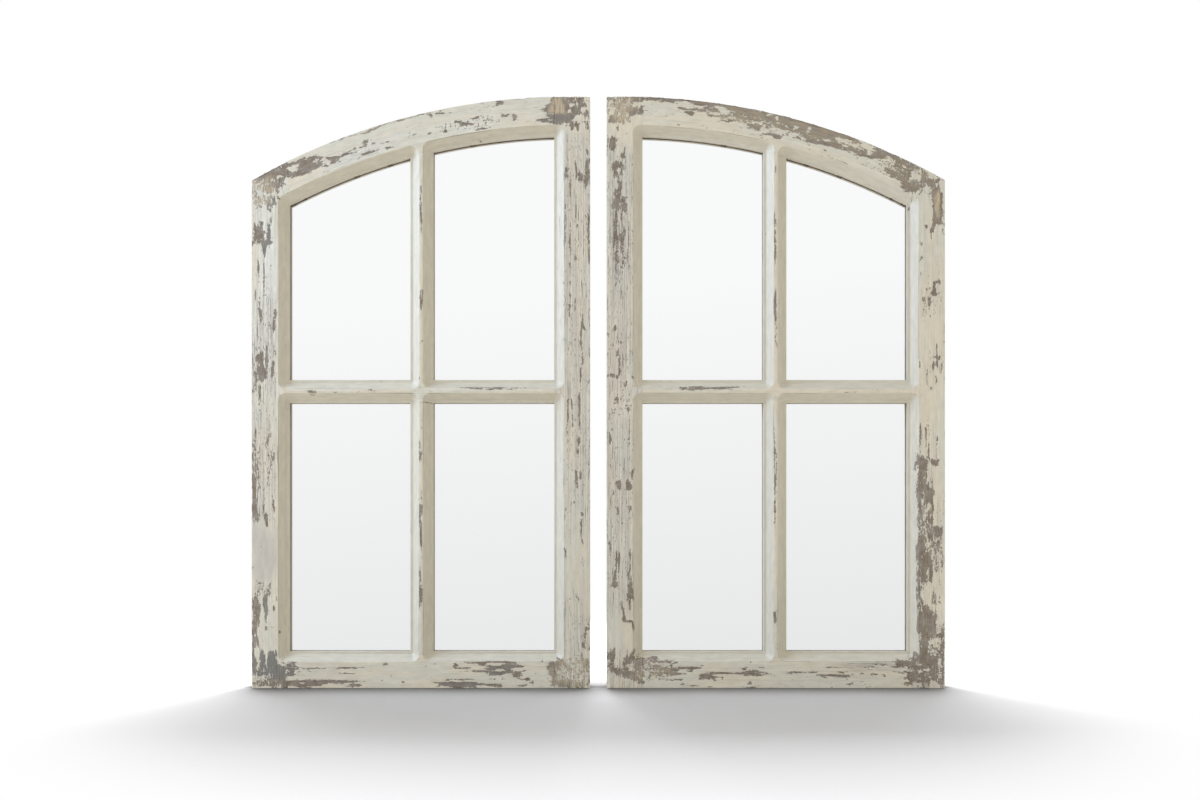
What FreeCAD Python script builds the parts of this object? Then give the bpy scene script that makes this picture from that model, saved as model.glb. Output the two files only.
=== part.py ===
"""Arched window mirror: two half-arch sash frames that stand side by side, each with four mirror panes.

Frame of reference: +X to the right, the mirror faces -Y, +Z up.  The origin is on the floor, midway between
the two leaves and midway through the depth from the painted face to the backs of the wall bumpers.
The right leaf is modelled and the left one is its mirror image.  All sizes are in millimetres.
"""
import FreeCAD, Part
import math
import os
from collections import namedtuple
from types import SimpleNamespace

import Sketcher
from FreeCAD import Placement, Rotation, Vector

SIZES = {
    # one leaf and the pair
    "leaf_width": 610,
    "leaf_height": 1067,
    "leaf_gap": 30,
    "arch_radius": 1169,
    "crown_inset": 36,
    # sash members
    "sash_thickness": 35,
    "stile_width": 65,
    "bottom_rail_width": 65,
    "head_width": 68.5,
    "muntin_width": 42,
    "cross_height": 536,
    # moulded edge round each pane
    "moulding_width": 12.8,
    "moulding_depth": 12,
    "lip_width": 5,
    "sight_corner_radius": 2.2,
    # mirror glass and the rebate that it sits in
    "glass_setback": 20,
    "glass_thickness": 4,
    "glass_rebate": 8,
    "glass_clearance": 1,
    "rebate_corner_radius": 3,
    # backing board and its rebate
    "board_thickness": 4,
    "board_rebate": 18,
    "board_clearance": 1,
    "board_corner_radius": 9.5,
    # mortise and tenon joints
    "tenon_setback": 13,
    "tenon_thickness": 10,
    "tenon_height": 28,
    "tenon_length": 45,
    "tenon_shoulder": 12,
    "stub_thickness": 6,
    "stub_width": 24,
    "stub_length": 14,
    "joint_clearance": 0.1,
    "glue_pocket": 1,
    # screws that hold the backing board
    "board_screw_radius": 1.75,
    "board_screw_bite": 9,
    "board_screw_head_radius": 3.5,
    "board_screw_head_height": 2.2,
    # D-ring hangers
    "hanger_height": 750,
    "strap_thickness": 1.4,
    "strap_width": 15,
    "strap_length": 45,
    "eye_width": 12,
    "ring_wire_radius": 1.6,
    "ring_inner_width": 20,
    "ring_inner_height": 12,
    "ring_corner_radius": 3,
    "ring_clearance": 0.15,
    "strap_screw_drop": 24,
    "strap_screw_pitch": 14,
    "strap_screw_radius": 2,
    "strap_screw_bite": 18,
    "strap_screw_head_radius": 3.6,
    "strap_screw_head_height": 2.4,
    # screw details shared by both kinds
    "screw_clearance": 0.05,
    "recess_width": 0.9,
    "recess_depth": 1.2,
    # wall bumpers
    "bumper_radius": 10,
    "bumper_top_radius": 8,
    "bumper_thickness": 7,
    "bumper_end_inset": 32,
}


class Measure:
    """A length or a place: the formula that binds it to the sheet, and what it comes to."""

    def __init__(self, formula, value):
        self.formula = formula
        self.value = value

    def joined(self, sign, other, value):
        return Measure(f"({self.formula} {sign} {formula_of(other)})", value)

    def __add__(self, other):
        return self.joined("+", other, self.value + value_of(other))

    def __sub__(self, other):
        return self.joined("-", other, self.value - value_of(other))

    def __mul__(self, other):
        return self.joined("*", other, self.value * value_of(other))

    def __truediv__(self, other):
        return self.joined("/", other, self.value / value_of(other))

    def __neg__(self):
        return self * -1

    def root(self):
        return Measure(f"sqrt({self.formula})", math.sqrt(self.value))


ZERO = Measure("0", 0)


def formula_of(amount):
    return amount.formula if isinstance(amount, Measure) else str(amount)


def value_of(amount):
    return amount.value if isinstance(amount, Measure) else amount


doc = FreeCAD.newDocument("arched_window_mirror")
sheet = doc.addObject("Spreadsheet::Sheet", "Sizes")
for row, (alias, number) in enumerate(SIZES.items(), start=1):
    sheet.set(f"A{row}", str(number))
    sheet.setAlias(f"A{row}", alias)
doc.recompute()
size = SimpleNamespace(**{alias: Measure(f"Sizes.{alias}", float(sheet.get(alias))) for alias in SIZES})

# Places across the right leaf, from the meeting edge outwards
MEETING_X = size.leaf_gap / 2
OUTER_X = MEETING_X + size.leaf_width
MEETING_SIGHT_X = MEETING_X + size.stile_width
OUTER_SIGHT_X = OUTER_X - size.stile_width
MUNTIN_X = (MEETING_SIGHT_X + OUTER_SIGHT_X) / 2
MUNTIN_MEETING_X = MUNTIN_X - size.muntin_width / 2
MUNTIN_OUTER_X = MUNTIN_X + size.muntin_width / 2
ARCH_X = MEETING_X + size.crown_inset

# Places through the depth, from the painted face backwards
FRONT_Y = -(size.sash_thickness + size.bumper_thickness) / 2
BACK_Y = FRONT_Y + size.sash_thickness
LIP_Y = FRONT_Y + size.moulding_depth
GLASS_Y = FRONT_Y + size.glass_setback
BOARD_Y = GLASS_Y + size.glass_thickness
BOARD_BACK_Y = BOARD_Y + size.board_thickness
TENON_Y = FRONT_Y + size.tenon_setback

# Places up the leaf, and the arch
TOP_Z = size.leaf_height
RAIL_TOP_Z = size.bottom_rail_width
CROSS_LOW_Z = size.cross_height - size.muntin_width / 2
CROSS_HIGH_Z = size.cross_height + size.muntin_width / 2
ARCH_Z = size.leaf_height - size.arch_radius
SIGHT_RADIUS = size.arch_radius - size.head_width


def arch_height(radius, x):
    """Height of the arch of this radius above the place x."""
    run = x - ARCH_X
    return ARCH_Z + (radius * radius - run * run).root()


# ---------------------------------------------------------------- small makers

def bind(item, **measures):
    """Bind properties of an object; a double underscore stands for a dot."""
    for name, amount in measures.items():
        item.setExpression(name.replace("__", "."), formula_of(amount))


def put(item, x=0, y=0, z=0):
    bind(item, Placement__Base__x=x, Placement__Base__y=y, Placement__Base__z=z)


def box(name, x, y, z):
    """A box from pairs of low and high places along X, Y and Z."""
    item = doc.addObject("Part::Box", name)
    bind(item, Length=x[1] - x[0], Width=y[1] - y[0], Height=z[1] - z[0])
    put(item, x[0], y[0], z[0])
    return item


def disc(name, radius, x, y, z):
    """A round bar whose axis runs along Y between the two places of y."""
    item = doc.addObject("Part::Cylinder", name)
    bind(item, Radius=radius, Height=y[1] - y[0])
    item.Placement = Placement(Vector(), Rotation(Vector(1, 0, 0), -90))
    put(item, x, y[0], z)
    return item


def common(name, *items):
    item = doc.addObject("Part::MultiCommon", name)
    item.Shapes = items
    return item


def fuse(name, *items):
    item = doc.addObject("Part::MultiFuse", name)
    item.Shapes = items
    item.Refine = True
    return item


def cut(name, base, tool):
    item = doc.addObject("Part::Cut", name)
    item.Base = base
    item.Tool = tool
    return item


def fixed_shape(name, shape):
    item = doc.addObject("Part::Feature", name)
    item.Shape = shape
    return item


def extrude(name, sketch, length):
    """Push a sketch that faces -Y backwards, along +Y."""
    item = doc.addObject("Part::Extrusion", name)
    item.Base = sketch
    item.DirMode = "Custom"
    item.Dir = Vector(0, 1, 0)
    item.FaceMakerClass = "Part::FaceMakerBullseye"
    item.Solid = True
    bind(item, LengthFwd=length)
    return item


# ---------------------------------------------------------------- outlines of the openings

Opening = namedtuple("Opening", "left right bottom top")


def outline(name, opening, offset, corner, y):
    """Rounded outline of an opening, let out by offset all round, on the plane at y.

    An opening whose top is None runs up to the arch.
    """
    left = opening.left - offset
    right = opening.right + offset
    bottom = opening.bottom - offset
    arched = opening.top is None
    crown = SIGHT_RADIUS + offset
    if arched:
        reach = crown - corner
        left_top = arch_height(reach, left + corner)
        right_top = arch_height(reach, right - corner)
    else:
        left_top = right_top = opening.top + offset - corner
    x0, x1, z0, r = left.value, right.value, bottom.value, corner.value
    centres = {
        "bottom_right": Vector(x1 - r, z0 + r, 0),
        "top_right": Vector(x1 - r, right_top.value, 0),
        "top_left": Vector(x0 + r, left_top.value, 0),
        "bottom_left": Vector(x0 + r, z0 + r, 0),
    }
    up = Vector(0, 0, 1)
    quarter = math.pi / 2
    right_turn = left_turn = quarter
    if arched:
        hub = Vector(ARCH_X.value, ARCH_Z.value, 0)
        right_turn = math.atan2(centres["top_right"].y - hub.y, centres["top_right"].x - hub.x)
        left_turn = math.atan2(centres["top_left"].y - hub.y, centres["top_left"].x - hub.x)
        top_edge = Part.ArcOfCircle(Part.Circle(hub, up, crown.value), right_turn, left_turn)
    else:
        top_edge = Part.LineSegment(Vector(x1 - r, right_top.value + r, 0), Vector(x0 + r, left_top.value + r, 0))

    def corner_arc(which, start, end):
        return Part.ArcOfCircle(Part.Circle(centres[which], up, r), start, end)

    sketch = doc.addObject("Sketcher::SketchObject", name)
    sketch.addGeometry([
        Part.LineSegment(Vector(x0 + r, z0, 0), Vector(x1 - r, z0, 0)),
        Part.LineSegment(Vector(x1, z0 + r, 0), Vector(x1, right_top.value, 0)),
        top_edge,
        Part.LineSegment(Vector(x0, left_top.value, 0), Vector(x0, z0 + r, 0)),
        corner_arc("bottom_right", -quarter, 0),
        corner_arc("top_right", 0, right_turn),
        corner_arc("top_left", left_turn, 2 * quarter),
        corner_arc("bottom_left", 2 * quarter, 3 * quarter),
    ], False)
    bottom_edge, right_edge, top, left_edge, low_right, high_right, high_left, low_left = range(8)
    start, end, middle = 1, 2, 3
    round_trip = [bottom_edge, low_right, right_edge, high_right, top, high_left, left_edge, low_left]
    for here, ahead in zip(round_trip, round_trip[1:] + round_trip[:1]):
        sketch.addConstraint(Sketcher.Constraint("Tangent", here, end, ahead, start))
    sketch.addConstraint(Sketcher.Constraint("Horizontal", bottom_edge))
    sketch.addConstraint(Sketcher.Constraint("Vertical", right_edge))
    sketch.addConstraint(Sketcher.Constraint("Vertical", left_edge))
    for other in (high_right, high_left, low_left):
        sketch.addConstraint(Sketcher.Constraint("Equal", low_right, other))

    def dimension(measure, kind, *where):
        index = sketch.addConstraint(Sketcher.Constraint(kind, *where, measure.value))
        sketch.setExpression(f"Constraints[{index}]", measure.formula)

    origin = (-1, 1)
    dimension(corner, "Radius", low_right)
    dimension(left, "DistanceX", *origin, left_edge, start)
    dimension(right, "DistanceX", *origin, right_edge, start)
    dimension(bottom, "DistanceY", *origin, bottom_edge, start)
    if arched:
        dimension(ARCH_X, "DistanceX", *origin, top, middle)
        dimension(ARCH_Z, "DistanceY", *origin, top, middle)
        dimension(crown, "Radius", top)
    else:
        sketch.addConstraint(Sketcher.Constraint("Horizontal", top))
        dimension(opening.top + offset, "DistanceY", *origin, top, start)
    sketch.Placement = Placement(Vector(), Rotation(Vector(1, 0, 0), 90))
    put(sketch, y=y)
    return sketch


PANES = {
    "lower_meeting": Opening(MEETING_SIGHT_X, MUNTIN_MEETING_X, RAIL_TOP_Z, CROSS_LOW_Z),
    "lower_outer": Opening(MUNTIN_OUTER_X, OUTER_SIGHT_X, RAIL_TOP_Z, CROSS_LOW_Z),
    "upper_meeting": Opening(MEETING_SIGHT_X, MUNTIN_MEETING_X, CROSS_HIGH_Z, None),
    "upper_outer": Opening(MUNTIN_OUTER_X, OUTER_SIGHT_X, CROSS_HIGH_Z, None),
}
WHOLE_LIGHT = Opening(MEETING_SIGHT_X, OUTER_SIGHT_X, RAIL_TOP_Z, None)


def opening_cutters(name, opening):
    """What the cutters take away round one pane: moulded edge, sight opening and glass rebate."""
    sight_corner = size.sight_corner_radius
    face = outline(f"{name}_face_edge", opening, size.lip_width + size.moulding_width,
                   sight_corner + size.moulding_width, FRONT_Y)
    lip = outline(f"{name}_lip_edge", opening, size.lip_width, sight_corner, LIP_Y)
    moulding = doc.addObject("Part::Loft", f"{name}_moulding_cutter")
    moulding.Sections = [face, lip]
    moulding.Solid = True
    moulding.Ruled = True
    sight = outline(f"{name}_sight_edge", opening, ZERO, sight_corner, FRONT_Y)
    through = extrude(f"{name}_sight_cutter", sight, size.glass_setback)
    ledge = outline(f"{name}_rebate_edge", opening, size.glass_rebate, size.rebate_corner_radius, GLASS_Y)
    rebate = extrude(f"{name}_rebate_cutter", ledge, size.glass_thickness)
    return [moulding, through, rebate]


def mirror_pane(name, opening):
    edge = outline(f"{name}_edge", opening, size.glass_rebate - size.glass_clearance,
                   size.rebate_corner_radius, GLASS_Y)
    return extrude(name, edge, size.glass_thickness)


cutters = []
for pane_name, pane in PANES.items():
    cutters += opening_cutters(pane_name, pane)
board_recess = outline("board_recess_edge", WHOLE_LIGHT, size.board_rebate, size.board_corner_radius, BOARD_Y)
cutters.append(extrude("board_recess_cutter", board_recess, BACK_Y - BOARD_Y))
frame_cutter = fuse("frame_cutter", *cutters)


# ---------------------------------------------------------------- mortise and tenon joints

Play = namedtuple("Play", "side end")
SNUG = Play(ZERO, ZERO)
MORTISE = Play(size.joint_clearance, size.glue_pocket)


def reach(shoulder, length, outwards):
    """The low and high place of something that starts at a shoulder and runs outwards or inwards."""
    return (shoulder, shoulder + length) if outwards else (shoulder - length, shoulder)


def wider(low, high, play):
    return (low - play, high + play)


def rail_tenon(name, shoulder_x, outwards, low_z, play):
    """Tenon on the end of the bottom rail or the head rail, or with play its mortise."""
    return box(name,
               reach(shoulder_x, size.tenon_length + play.end, outwards),
               wider(TENON_Y, TENON_Y + size.tenon_thickness, play.side),
               wider(low_z, low_z + size.tenon_height, play.side))


def side_stub(name, shoulder_x, outwards, play):
    """Stub tenon on the end of the cross muntin, or with play its mortise."""
    half = size.stub_width / 2
    return box(name,
               reach(shoulder_x, size.stub_length + play.end, outwards),
               wider(TENON_Y, TENON_Y + size.stub_thickness, play.side),
               wider(size.cross_height - half, size.cross_height + half, play.side))


def upright_stub(name, shoulder_z, upwards, play):
    """Stub tenon on the end of an upright muntin, or with play its mortise."""
    half = size.stub_width / 2
    return box(name,
               wider(MUNTIN_X - half, MUNTIN_X + half, play.side),
               wider(TENON_Y, TENON_Y + size.stub_thickness, play.side),
               reach(shoulder_z, size.stub_length + play.end, upwards))


def arch_stub(name, play):
    """Stub tenon of the upper muntin into the head rail, its end cut to the arch."""
    half = size.stub_width / 2
    depth = wider(TENON_Y, TENON_Y + size.stub_thickness, play.side)
    shaft = box(f"{name}_shaft", wider(MUNTIN_X - half, MUNTIN_X + half, play.side), depth,
                (CROSS_HIGH_Z + size.stub_length, TOP_Z))
    limit = disc(f"{name}_limit", SIGHT_RADIUS + size.stub_length + play.end, ARCH_X, depth, ARCH_Z)
    return common(name, shaft, limit)


BOTTOM_TENON_Z = size.tenon_shoulder
HEAD_OUTER_TENON_Z = arch_height(SIGHT_RADIUS, OUTER_SIGHT_X) + size.tenon_shoulder
HEAD_MEETING_TENON_Z = arch_height(SIGHT_RADIUS, MEETING_SIGHT_X) + size.tenon_shoulder


# ---------------------------------------------------------------- screws

def screw(name, radius, length, head_radius, head_height):
    """A pan-head screw with a cross recess, pointing down -Z, its head standing on Z = 0."""
    body = doc.addObject("PartDesign::Body", f"{name}_turned")
    profile = body.newObject("Sketcher::SketchObject", f"{name}_profile")
    profile.AttachmentSupport = (origin_plane(body, "XZ_Plane"), [""])
    profile.MapMode = "FlatFace"
    crown = head_height / 2
    tip = radius * 2
    corners = [
        (ZERO, head_height),
        (head_radius - crown, head_height),
        (head_radius, head_height - crown),
        (head_radius, ZERO),
        (radius, ZERO),
        (radius, tip - length),
        (ZERO, -length),
    ]
    polygon(profile, corners)
    turned = body.newObject("PartDesign::Revolution", f"{name}_revolution")
    turned.Profile = profile
    turned.ReferenceAxis = (profile, ["V_Axis"])
    turned.Angle = 360
    half_slot = size.recess_width / 2
    slot_reach = head_radius * 0.55
    deep = (head_height - size.recess_depth, head_height)
    recess = fuse(f"{name}_recess",
                  box(f"{name}_slot_x", (-slot_reach, slot_reach), (-half_slot, half_slot), deep),
                  box(f"{name}_slot_y", (-half_slot, half_slot), (-slot_reach, slot_reach), deep))
    return cut(name, body, recess)


def origin_plane(body, role):
    return next(item for item in body.Origin.OriginFeatures if item.Role == role)


def polygon(sketch, corners):
    """A closed polygon through corners given as pairs of measures, each corner bound to the sheet."""
    points = [Vector(value_of(across), value_of(up), 0) for across, up in corners]
    for first, second in zip(points, points[1:] + points[:1]):
        sketch.addGeometry(Part.LineSegment(first, second), False)
    count = len(corners)
    for index in range(count):
        sketch.addConstraint(Sketcher.Constraint("Coincident", index, 2, (index + 1) % count, 1))
    for index, pair in enumerate(corners):
        for kind, amount in zip(("DistanceX", "DistanceY"), pair):
            number = sketch.addConstraint(Sketcher.Constraint(kind, -1, 1, index, 1, value_of(amount)))
            sketch.setExpression(f"Constraints[{number}]", formula_of(amount))


# ---------------------------------------------------------------- where the screws go

def board_screw_places():
    """Places (x, z) of the screws round the backing board, on its ledge and along the muntins."""
    inset = (size.glass_rebate.value + size.board_rebate.value) / 2
    low, high = RAIL_TOP_Z.value, CROSS_LOW_Z.value
    above = CROSS_HIGH_Z.value
    places = []
    for edge, side in ((MEETING_SIGHT_X, -1), (OUTER_SIGHT_X, 1)):
        x = edge.value + side * inset
        shoulder = arch_height(SIGHT_RADIUS, edge).value
        for share in (0.2, 0.8):
            places.append((x, low + share * (high - low)))
            places.append((x, above + share * (shoulder - above)))
    ledge_radius = SIGHT_RADIUS + inset
    for opening in (PANES["lower_meeting"], PANES["lower_outer"]):
        middle = (opening.left + opening.right) / 2
        places.append((middle.value, low - inset))
        places.append((middle.value, size.cross_height.value))
        places.append((middle.value, arch_height(ledge_radius, middle).value))
    places.append((MUNTIN_X.value, (low + high) / 2))
    places.append((MUNTIN_X.value, (above + arch_height(SIGHT_RADIUS, MUNTIN_X).value) / 2))
    return places


HANGER_XS = {
    "meeting": MEETING_X + (size.stile_width - size.board_rebate) / 2,
    "outer": OUTER_X - (size.stile_width - size.board_rebate) / 2,
}


def strap_screw_places():
    """Places (x, z) of the two screws through each hanger strap."""
    first = size.hanger_height.value - size.strap_screw_drop.value
    return [(x.value, first - step * size.strap_screw_pitch.value) for x in HANGER_XS.values() for step in (0, 1)]


def screw_group(name, master, places, seat_y):
    """One node of separate screws, each turned so that its head faces backwards."""
    turn = Rotation(Vector(1, 0, 0), -90)
    copies = []
    for x, z in places:
        copy = master.Shape.copy()
        copy.Placement = Placement(Vector(x, seat_y.value, z), turn)
        copies.append(copy)
    return fixed_shape(name, Part.makeCompound(copies))


def screw_holes(name, places, radius, seat_y, length):
    """Round holes for a group of screws, from the seat of their heads forwards."""
    bore = (radius + size.screw_clearance).value
    deep = (length + size.glue_pocket).value
    holes = [Part.makeCylinder(bore, deep, Vector(x, seat_y.value, z), Vector(0, -1, 0)) for x, z in places]
    return fixed_shape(name, Part.makeCompound(holes))


BOARD_SCREW_LENGTH = size.board_thickness + size.board_screw_bite
STRAP_SCREW_LENGTH = size.strap_thickness + size.strap_screw_bite
STRAP_BACK_Y = BACK_Y + size.strap_thickness
board_holes = screw_holes("board_screw_holes", board_screw_places(), size.board_screw_radius, BOARD_BACK_Y,
                          BOARD_SCREW_LENGTH)
strap_holes = screw_holes("strap_screw_holes", strap_screw_places(), size.strap_screw_radius, STRAP_BACK_Y,
                          STRAP_SCREW_LENGTH)


# ---------------------------------------------------------------- the wooden sash

WHOLE_DEPTH = (FRONT_Y, BACK_Y)
MUNTIN_DEPTH = (FRONT_Y, BOARD_Y)
arch_top = disc("arch_top", size.arch_radius, ARCH_X, WHOLE_DEPTH, ARCH_Z)
arch_sight = disc("arch_sight", SIGHT_RADIUS, ARCH_X, WHOLE_DEPTH, ARCH_Z)


def shaped(name, blank, tenons=(), mortises=()):
    """Run the pane cutters over a blank, add its tenons, then chop its mortises and bore its screw holes."""
    moulded = cut(f"{name}_moulded", blank, frame_cutter)
    joined = fuse(f"{name}_tenoned", moulded, *tenons) if tenons else moulded
    holes = fuse(f"{name}_holes", board_holes, strap_holes, *mortises)
    member = cut(name, joined, holes)
    member.Refine = True
    return member


def outer_stile(name):
    blank = common(f"{name}_blank", box(f"{name}_stock", (OUTER_SIGHT_X, OUTER_X), WHOLE_DEPTH, (ZERO, TOP_Z)),
                   arch_top)
    return shaped(name, blank, mortises=[
        rail_tenon(f"{name}_bottom_mortise", OUTER_SIGHT_X, True, BOTTOM_TENON_Z, MORTISE),
        rail_tenon(f"{name}_head_mortise", OUTER_SIGHT_X, True, HEAD_OUTER_TENON_Z, MORTISE),
        side_stub(f"{name}_cross_mortise", OUTER_SIGHT_X, True, MORTISE),
    ])


def meeting_stile(name):
    blank = common(f"{name}_blank", box(f"{name}_stock", (MEETING_X, MEETING_SIGHT_X), WHOLE_DEPTH, (ZERO, TOP_Z)),
                   arch_top)
    return shaped(name, blank, mortises=[
        rail_tenon(f"{name}_bottom_mortise", MEETING_SIGHT_X, False, BOTTOM_TENON_Z, MORTISE),
        rail_tenon(f"{name}_head_mortise", MEETING_SIGHT_X, False, HEAD_MEETING_TENON_Z, MORTISE),
        side_stub(f"{name}_cross_mortise", MEETING_SIGHT_X, False, MORTISE),
    ])


def arched_head_rail(name):
    stock = box(f"{name}_stock", (MEETING_SIGHT_X, OUTER_SIGHT_X), WHOLE_DEPTH, (CROSS_HIGH_Z, TOP_Z))
    blank = cut(f"{name}_blank", common(f"{name}_sawn", stock, arch_top), arch_sight)
    return shaped(name, blank, tenons=[
        rail_tenon(f"{name}_outer_tenon", OUTER_SIGHT_X, True, HEAD_OUTER_TENON_Z, SNUG),
        rail_tenon(f"{name}_meeting_tenon", MEETING_SIGHT_X, False, HEAD_MEETING_TENON_Z, SNUG),
    ], mortises=[arch_stub(f"{name}_muntin_mortise", MORTISE)])


def bottom_rail(name):
    blank = box(f"{name}_blank", (MEETING_SIGHT_X, OUTER_SIGHT_X), WHOLE_DEPTH, (ZERO, RAIL_TOP_Z))
    return shaped(name, blank, tenons=[
        rail_tenon(f"{name}_outer_tenon", OUTER_SIGHT_X, True, BOTTOM_TENON_Z, SNUG),
        rail_tenon(f"{name}_meeting_tenon", MEETING_SIGHT_X, False, BOTTOM_TENON_Z, SNUG),
    ], mortises=[upright_stub(f"{name}_muntin_mortise", RAIL_TOP_Z, False, MORTISE)])


def cross_muntin(name):
    blank = box(f"{name}_blank", (MEETING_SIGHT_X, OUTER_SIGHT_X), MUNTIN_DEPTH, (CROSS_LOW_Z, CROSS_HIGH_Z))
    return shaped(name, blank, tenons=[
        side_stub(f"{name}_outer_stub", OUTER_SIGHT_X, True, SNUG),
        side_stub(f"{name}_meeting_stub", MEETING_SIGHT_X, False, SNUG),
    ], mortises=[
        upright_stub(f"{name}_lower_mortise", CROSS_LOW_Z, True, MORTISE),
        upright_stub(f"{name}_upper_mortise", CROSS_HIGH_Z, False, MORTISE),
    ])


def lower_muntin(name):
    blank = box(f"{name}_blank", (MUNTIN_MEETING_X, MUNTIN_OUTER_X), MUNTIN_DEPTH, (RAIL_TOP_Z, CROSS_LOW_Z))
    return shaped(name, blank, tenons=[
        upright_stub(f"{name}_foot_stub", RAIL_TOP_Z, False, SNUG),
        upright_stub(f"{name}_head_stub", CROSS_LOW_Z, True, SNUG),
    ])


def upper_muntin(name):
    stock = box(f"{name}_stock", (MUNTIN_MEETING_X, MUNTIN_OUTER_X), MUNTIN_DEPTH, (CROSS_HIGH_Z, TOP_Z))
    return shaped(name, common(f"{name}_blank", stock, arch_sight), tenons=[
        upright_stub(f"{name}_foot_stub", CROSS_HIGH_Z, False, SNUG),
        arch_stub(f"{name}_head_stub", SNUG),
    ])


# ---------------------------------------------------------------- backing board and its screws

def backing_board(name):
    edge = outline(f"{name}_edge", WHOLE_LIGHT, size.board_rebate - size.board_clearance,
                   size.board_corner_radius, BOARD_Y)
    return cut(name, extrude(f"{name}_sheet", edge, size.board_thickness), board_holes)


# ---------------------------------------------------------------- D-ring hangers

EYE_BORE = size.ring_wire_radius + size.ring_clearance
EYE_RADIUS = EYE_BORE + size.strap_thickness
EYE_Y = BACK_Y + EYE_RADIUS


def flat_sketch(body, name, role):
    sketch = body.newObject("Sketcher::SketchObject", name)
    sketch.AttachmentSupport = (origin_plane(body, role), [""])
    sketch.MapMode = "FlatFace"
    return sketch


def circle(sketch, across, up, radius):
    index = sketch.addGeometry(Part.Circle(Vector(value_of(across), value_of(up), 0), Vector(0, 0, 1),
                                           radius.value), False)
    for kind, amount in (("DistanceX", across), ("DistanceY", up)):
        number = sketch.addConstraint(Sketcher.Constraint(kind, -1, 1, index, 3, value_of(amount)))
        sketch.setExpression(f"Constraints[{number}]", formula_of(amount))
    number = sketch.addConstraint(Sketcher.Constraint("Radius", index, radius.value))
    sketch.setExpression(f"Constraints[{number}]", radius.formula)


def hanger_strap(name, x):
    """Steel strap, screwed to the stile, whose rolled eye holds the ring; its origin is the eye's axis."""
    body = doc.addObject("PartDesign::Body", name)
    half = size.strap_width / 2
    back = -EYE_RADIUS
    plate = flat_sketch(body, f"{name}_plate_edge", "XY_Plane")
    polygon(plate, [(-half, back), (half, back), (half, back + size.strap_thickness),
                    (-half, back + size.strap_thickness)])
    pad = body.newObject("PartDesign::Pad", f"{name}_plate")
    pad.Profile = plate
    pad.Reversed = True
    bind(pad, Length=size.strap_length)
    roll = flat_sketch(body, f"{name}_roll", "YZ_Plane")
    circle(roll, 0, 0, EYE_RADIUS)
    eye = body.newObject("PartDesign::Pad", f"{name}_eye")
    eye.Profile = roll
    eye.Midplane = True
    bind(eye, Length=size.eye_width)
    bore = flat_sketch(body, f"{name}_bore", "YZ_Plane")
    circle(bore, 0, 0, EYE_BORE)
    opening = body.newObject("PartDesign::Pocket", f"{name}_eye_bore")
    opening.Profile = bore
    opening.Midplane = True
    bind(opening, Length=size.strap_width + size.eye_width)
    holes = flat_sketch(body, f"{name}_screw_circles", "XZ_Plane")
    for step in (0, 1):
        circle(holes, 0, -(size.strap_screw_drop + size.strap_screw_pitch * step),
               size.strap_screw_radius + size.screw_clearance)
    drilled = body.newObject("PartDesign::Pocket", f"{name}_screw_holes")
    drilled.Profile = holes
    drilled.Midplane = True
    bind(drilled, Length=EYE_RADIUS * 4)
    put(body, x, EYE_Y, size.hanger_height)
    return body


def ring_turn(name, radius, start, x, z):
    """A piece of ring wire bent through a turn, seen from the front; angles run from +X towards +Z."""
    low, high = start
    item = doc.addObject("Part::Torus", name)
    bind(item, Radius1=radius, Radius2=size.ring_wire_radius)
    item.Angle3 = high - low
    item.Placement = Placement(Vector(), Rotation(Vector(1, 0, 0), 90) * Rotation(Vector(0, 0, 1), low))
    put(item, x, EYE_Y, z)
    return item


def wire_run(name, x, z, direction, length):
    """A straight piece of ring wire along +X or up +Z."""
    item = doc.addObject("Part::Cylinder", name)
    bind(item, Radius=size.ring_wire_radius, Height=length)
    item.Placement = Placement(Vector(), Rotation(Vector(0, 0, 1), direction))
    put(item, x, EYE_Y, z)
    return item


def hanger_ring(name, x):
    """D-shaped wire ring that hangs from the eye by its straight side."""
    bend = size.ring_corner_radius
    half = size.ring_inner_width / 2 + size.ring_wire_radius
    bar_z = size.hanger_height
    bow_z = bar_z - (size.ring_inner_height + size.ring_wire_radius * 2 - half)
    leg = bar_z - bend - bow_z
    return fuse(name,
                wire_run(f"{name}_bar", x - half + bend, bar_z, Vector(1, 0, 0), (half - bend) * 2),
                ring_turn(f"{name}_left_bend", bend, (90, 180), x - half + bend, bar_z - bend),
                ring_turn(f"{name}_right_bend", bend, (0, 90), x + half - bend, bar_z - bend),
                wire_run(f"{name}_left_leg", x - half, bow_z, Vector(0, 0, 1), leg),
                wire_run(f"{name}_right_leg", x + half, bow_z, Vector(0, 0, 1), leg),
                ring_turn(f"{name}_bow", half, (180, 360), x, bow_z))


# ---------------------------------------------------------------- wall bumpers

def wall_bumpers(name):
    """Four tapered rubber bumpers on the backs of the stiles, near their ends."""
    cones = []
    for side, x in HANGER_XS.items():
        edge = MEETING_X if side == "meeting" else OUTER_X
        top = arch_height(size.arch_radius, edge) - size.bumper_end_inset
        for end, z in (("low", size.bumper_end_inset), ("high", top)):
            cone = doc.addObject("Part::Cone", f"{name}_{side}_{end}")
            bind(cone, Radius1=size.bumper_radius, Radius2=size.bumper_top_radius, Height=size.bumper_thickness)
            cone.Placement = Placement(Vector(), Rotation(Vector(1, 0, 0), -90))
            put(cone, x, BACK_Y, z)
            cones.append(cone)
    group = doc.addObject("Part::Compound", name)
    group.Links = cones
    return group


# ---------------------------------------------------------------- both leaves

board_screw = screw("board_screw", size.board_screw_radius, BOARD_SCREW_LENGTH, size.board_screw_head_radius,
                    size.board_screw_head_height)
strap_screw = screw("strap_screw", size.strap_screw_radius, STRAP_SCREW_LENGTH, size.strap_screw_head_radius,
                    size.strap_screw_head_height)
doc.recompute()

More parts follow.
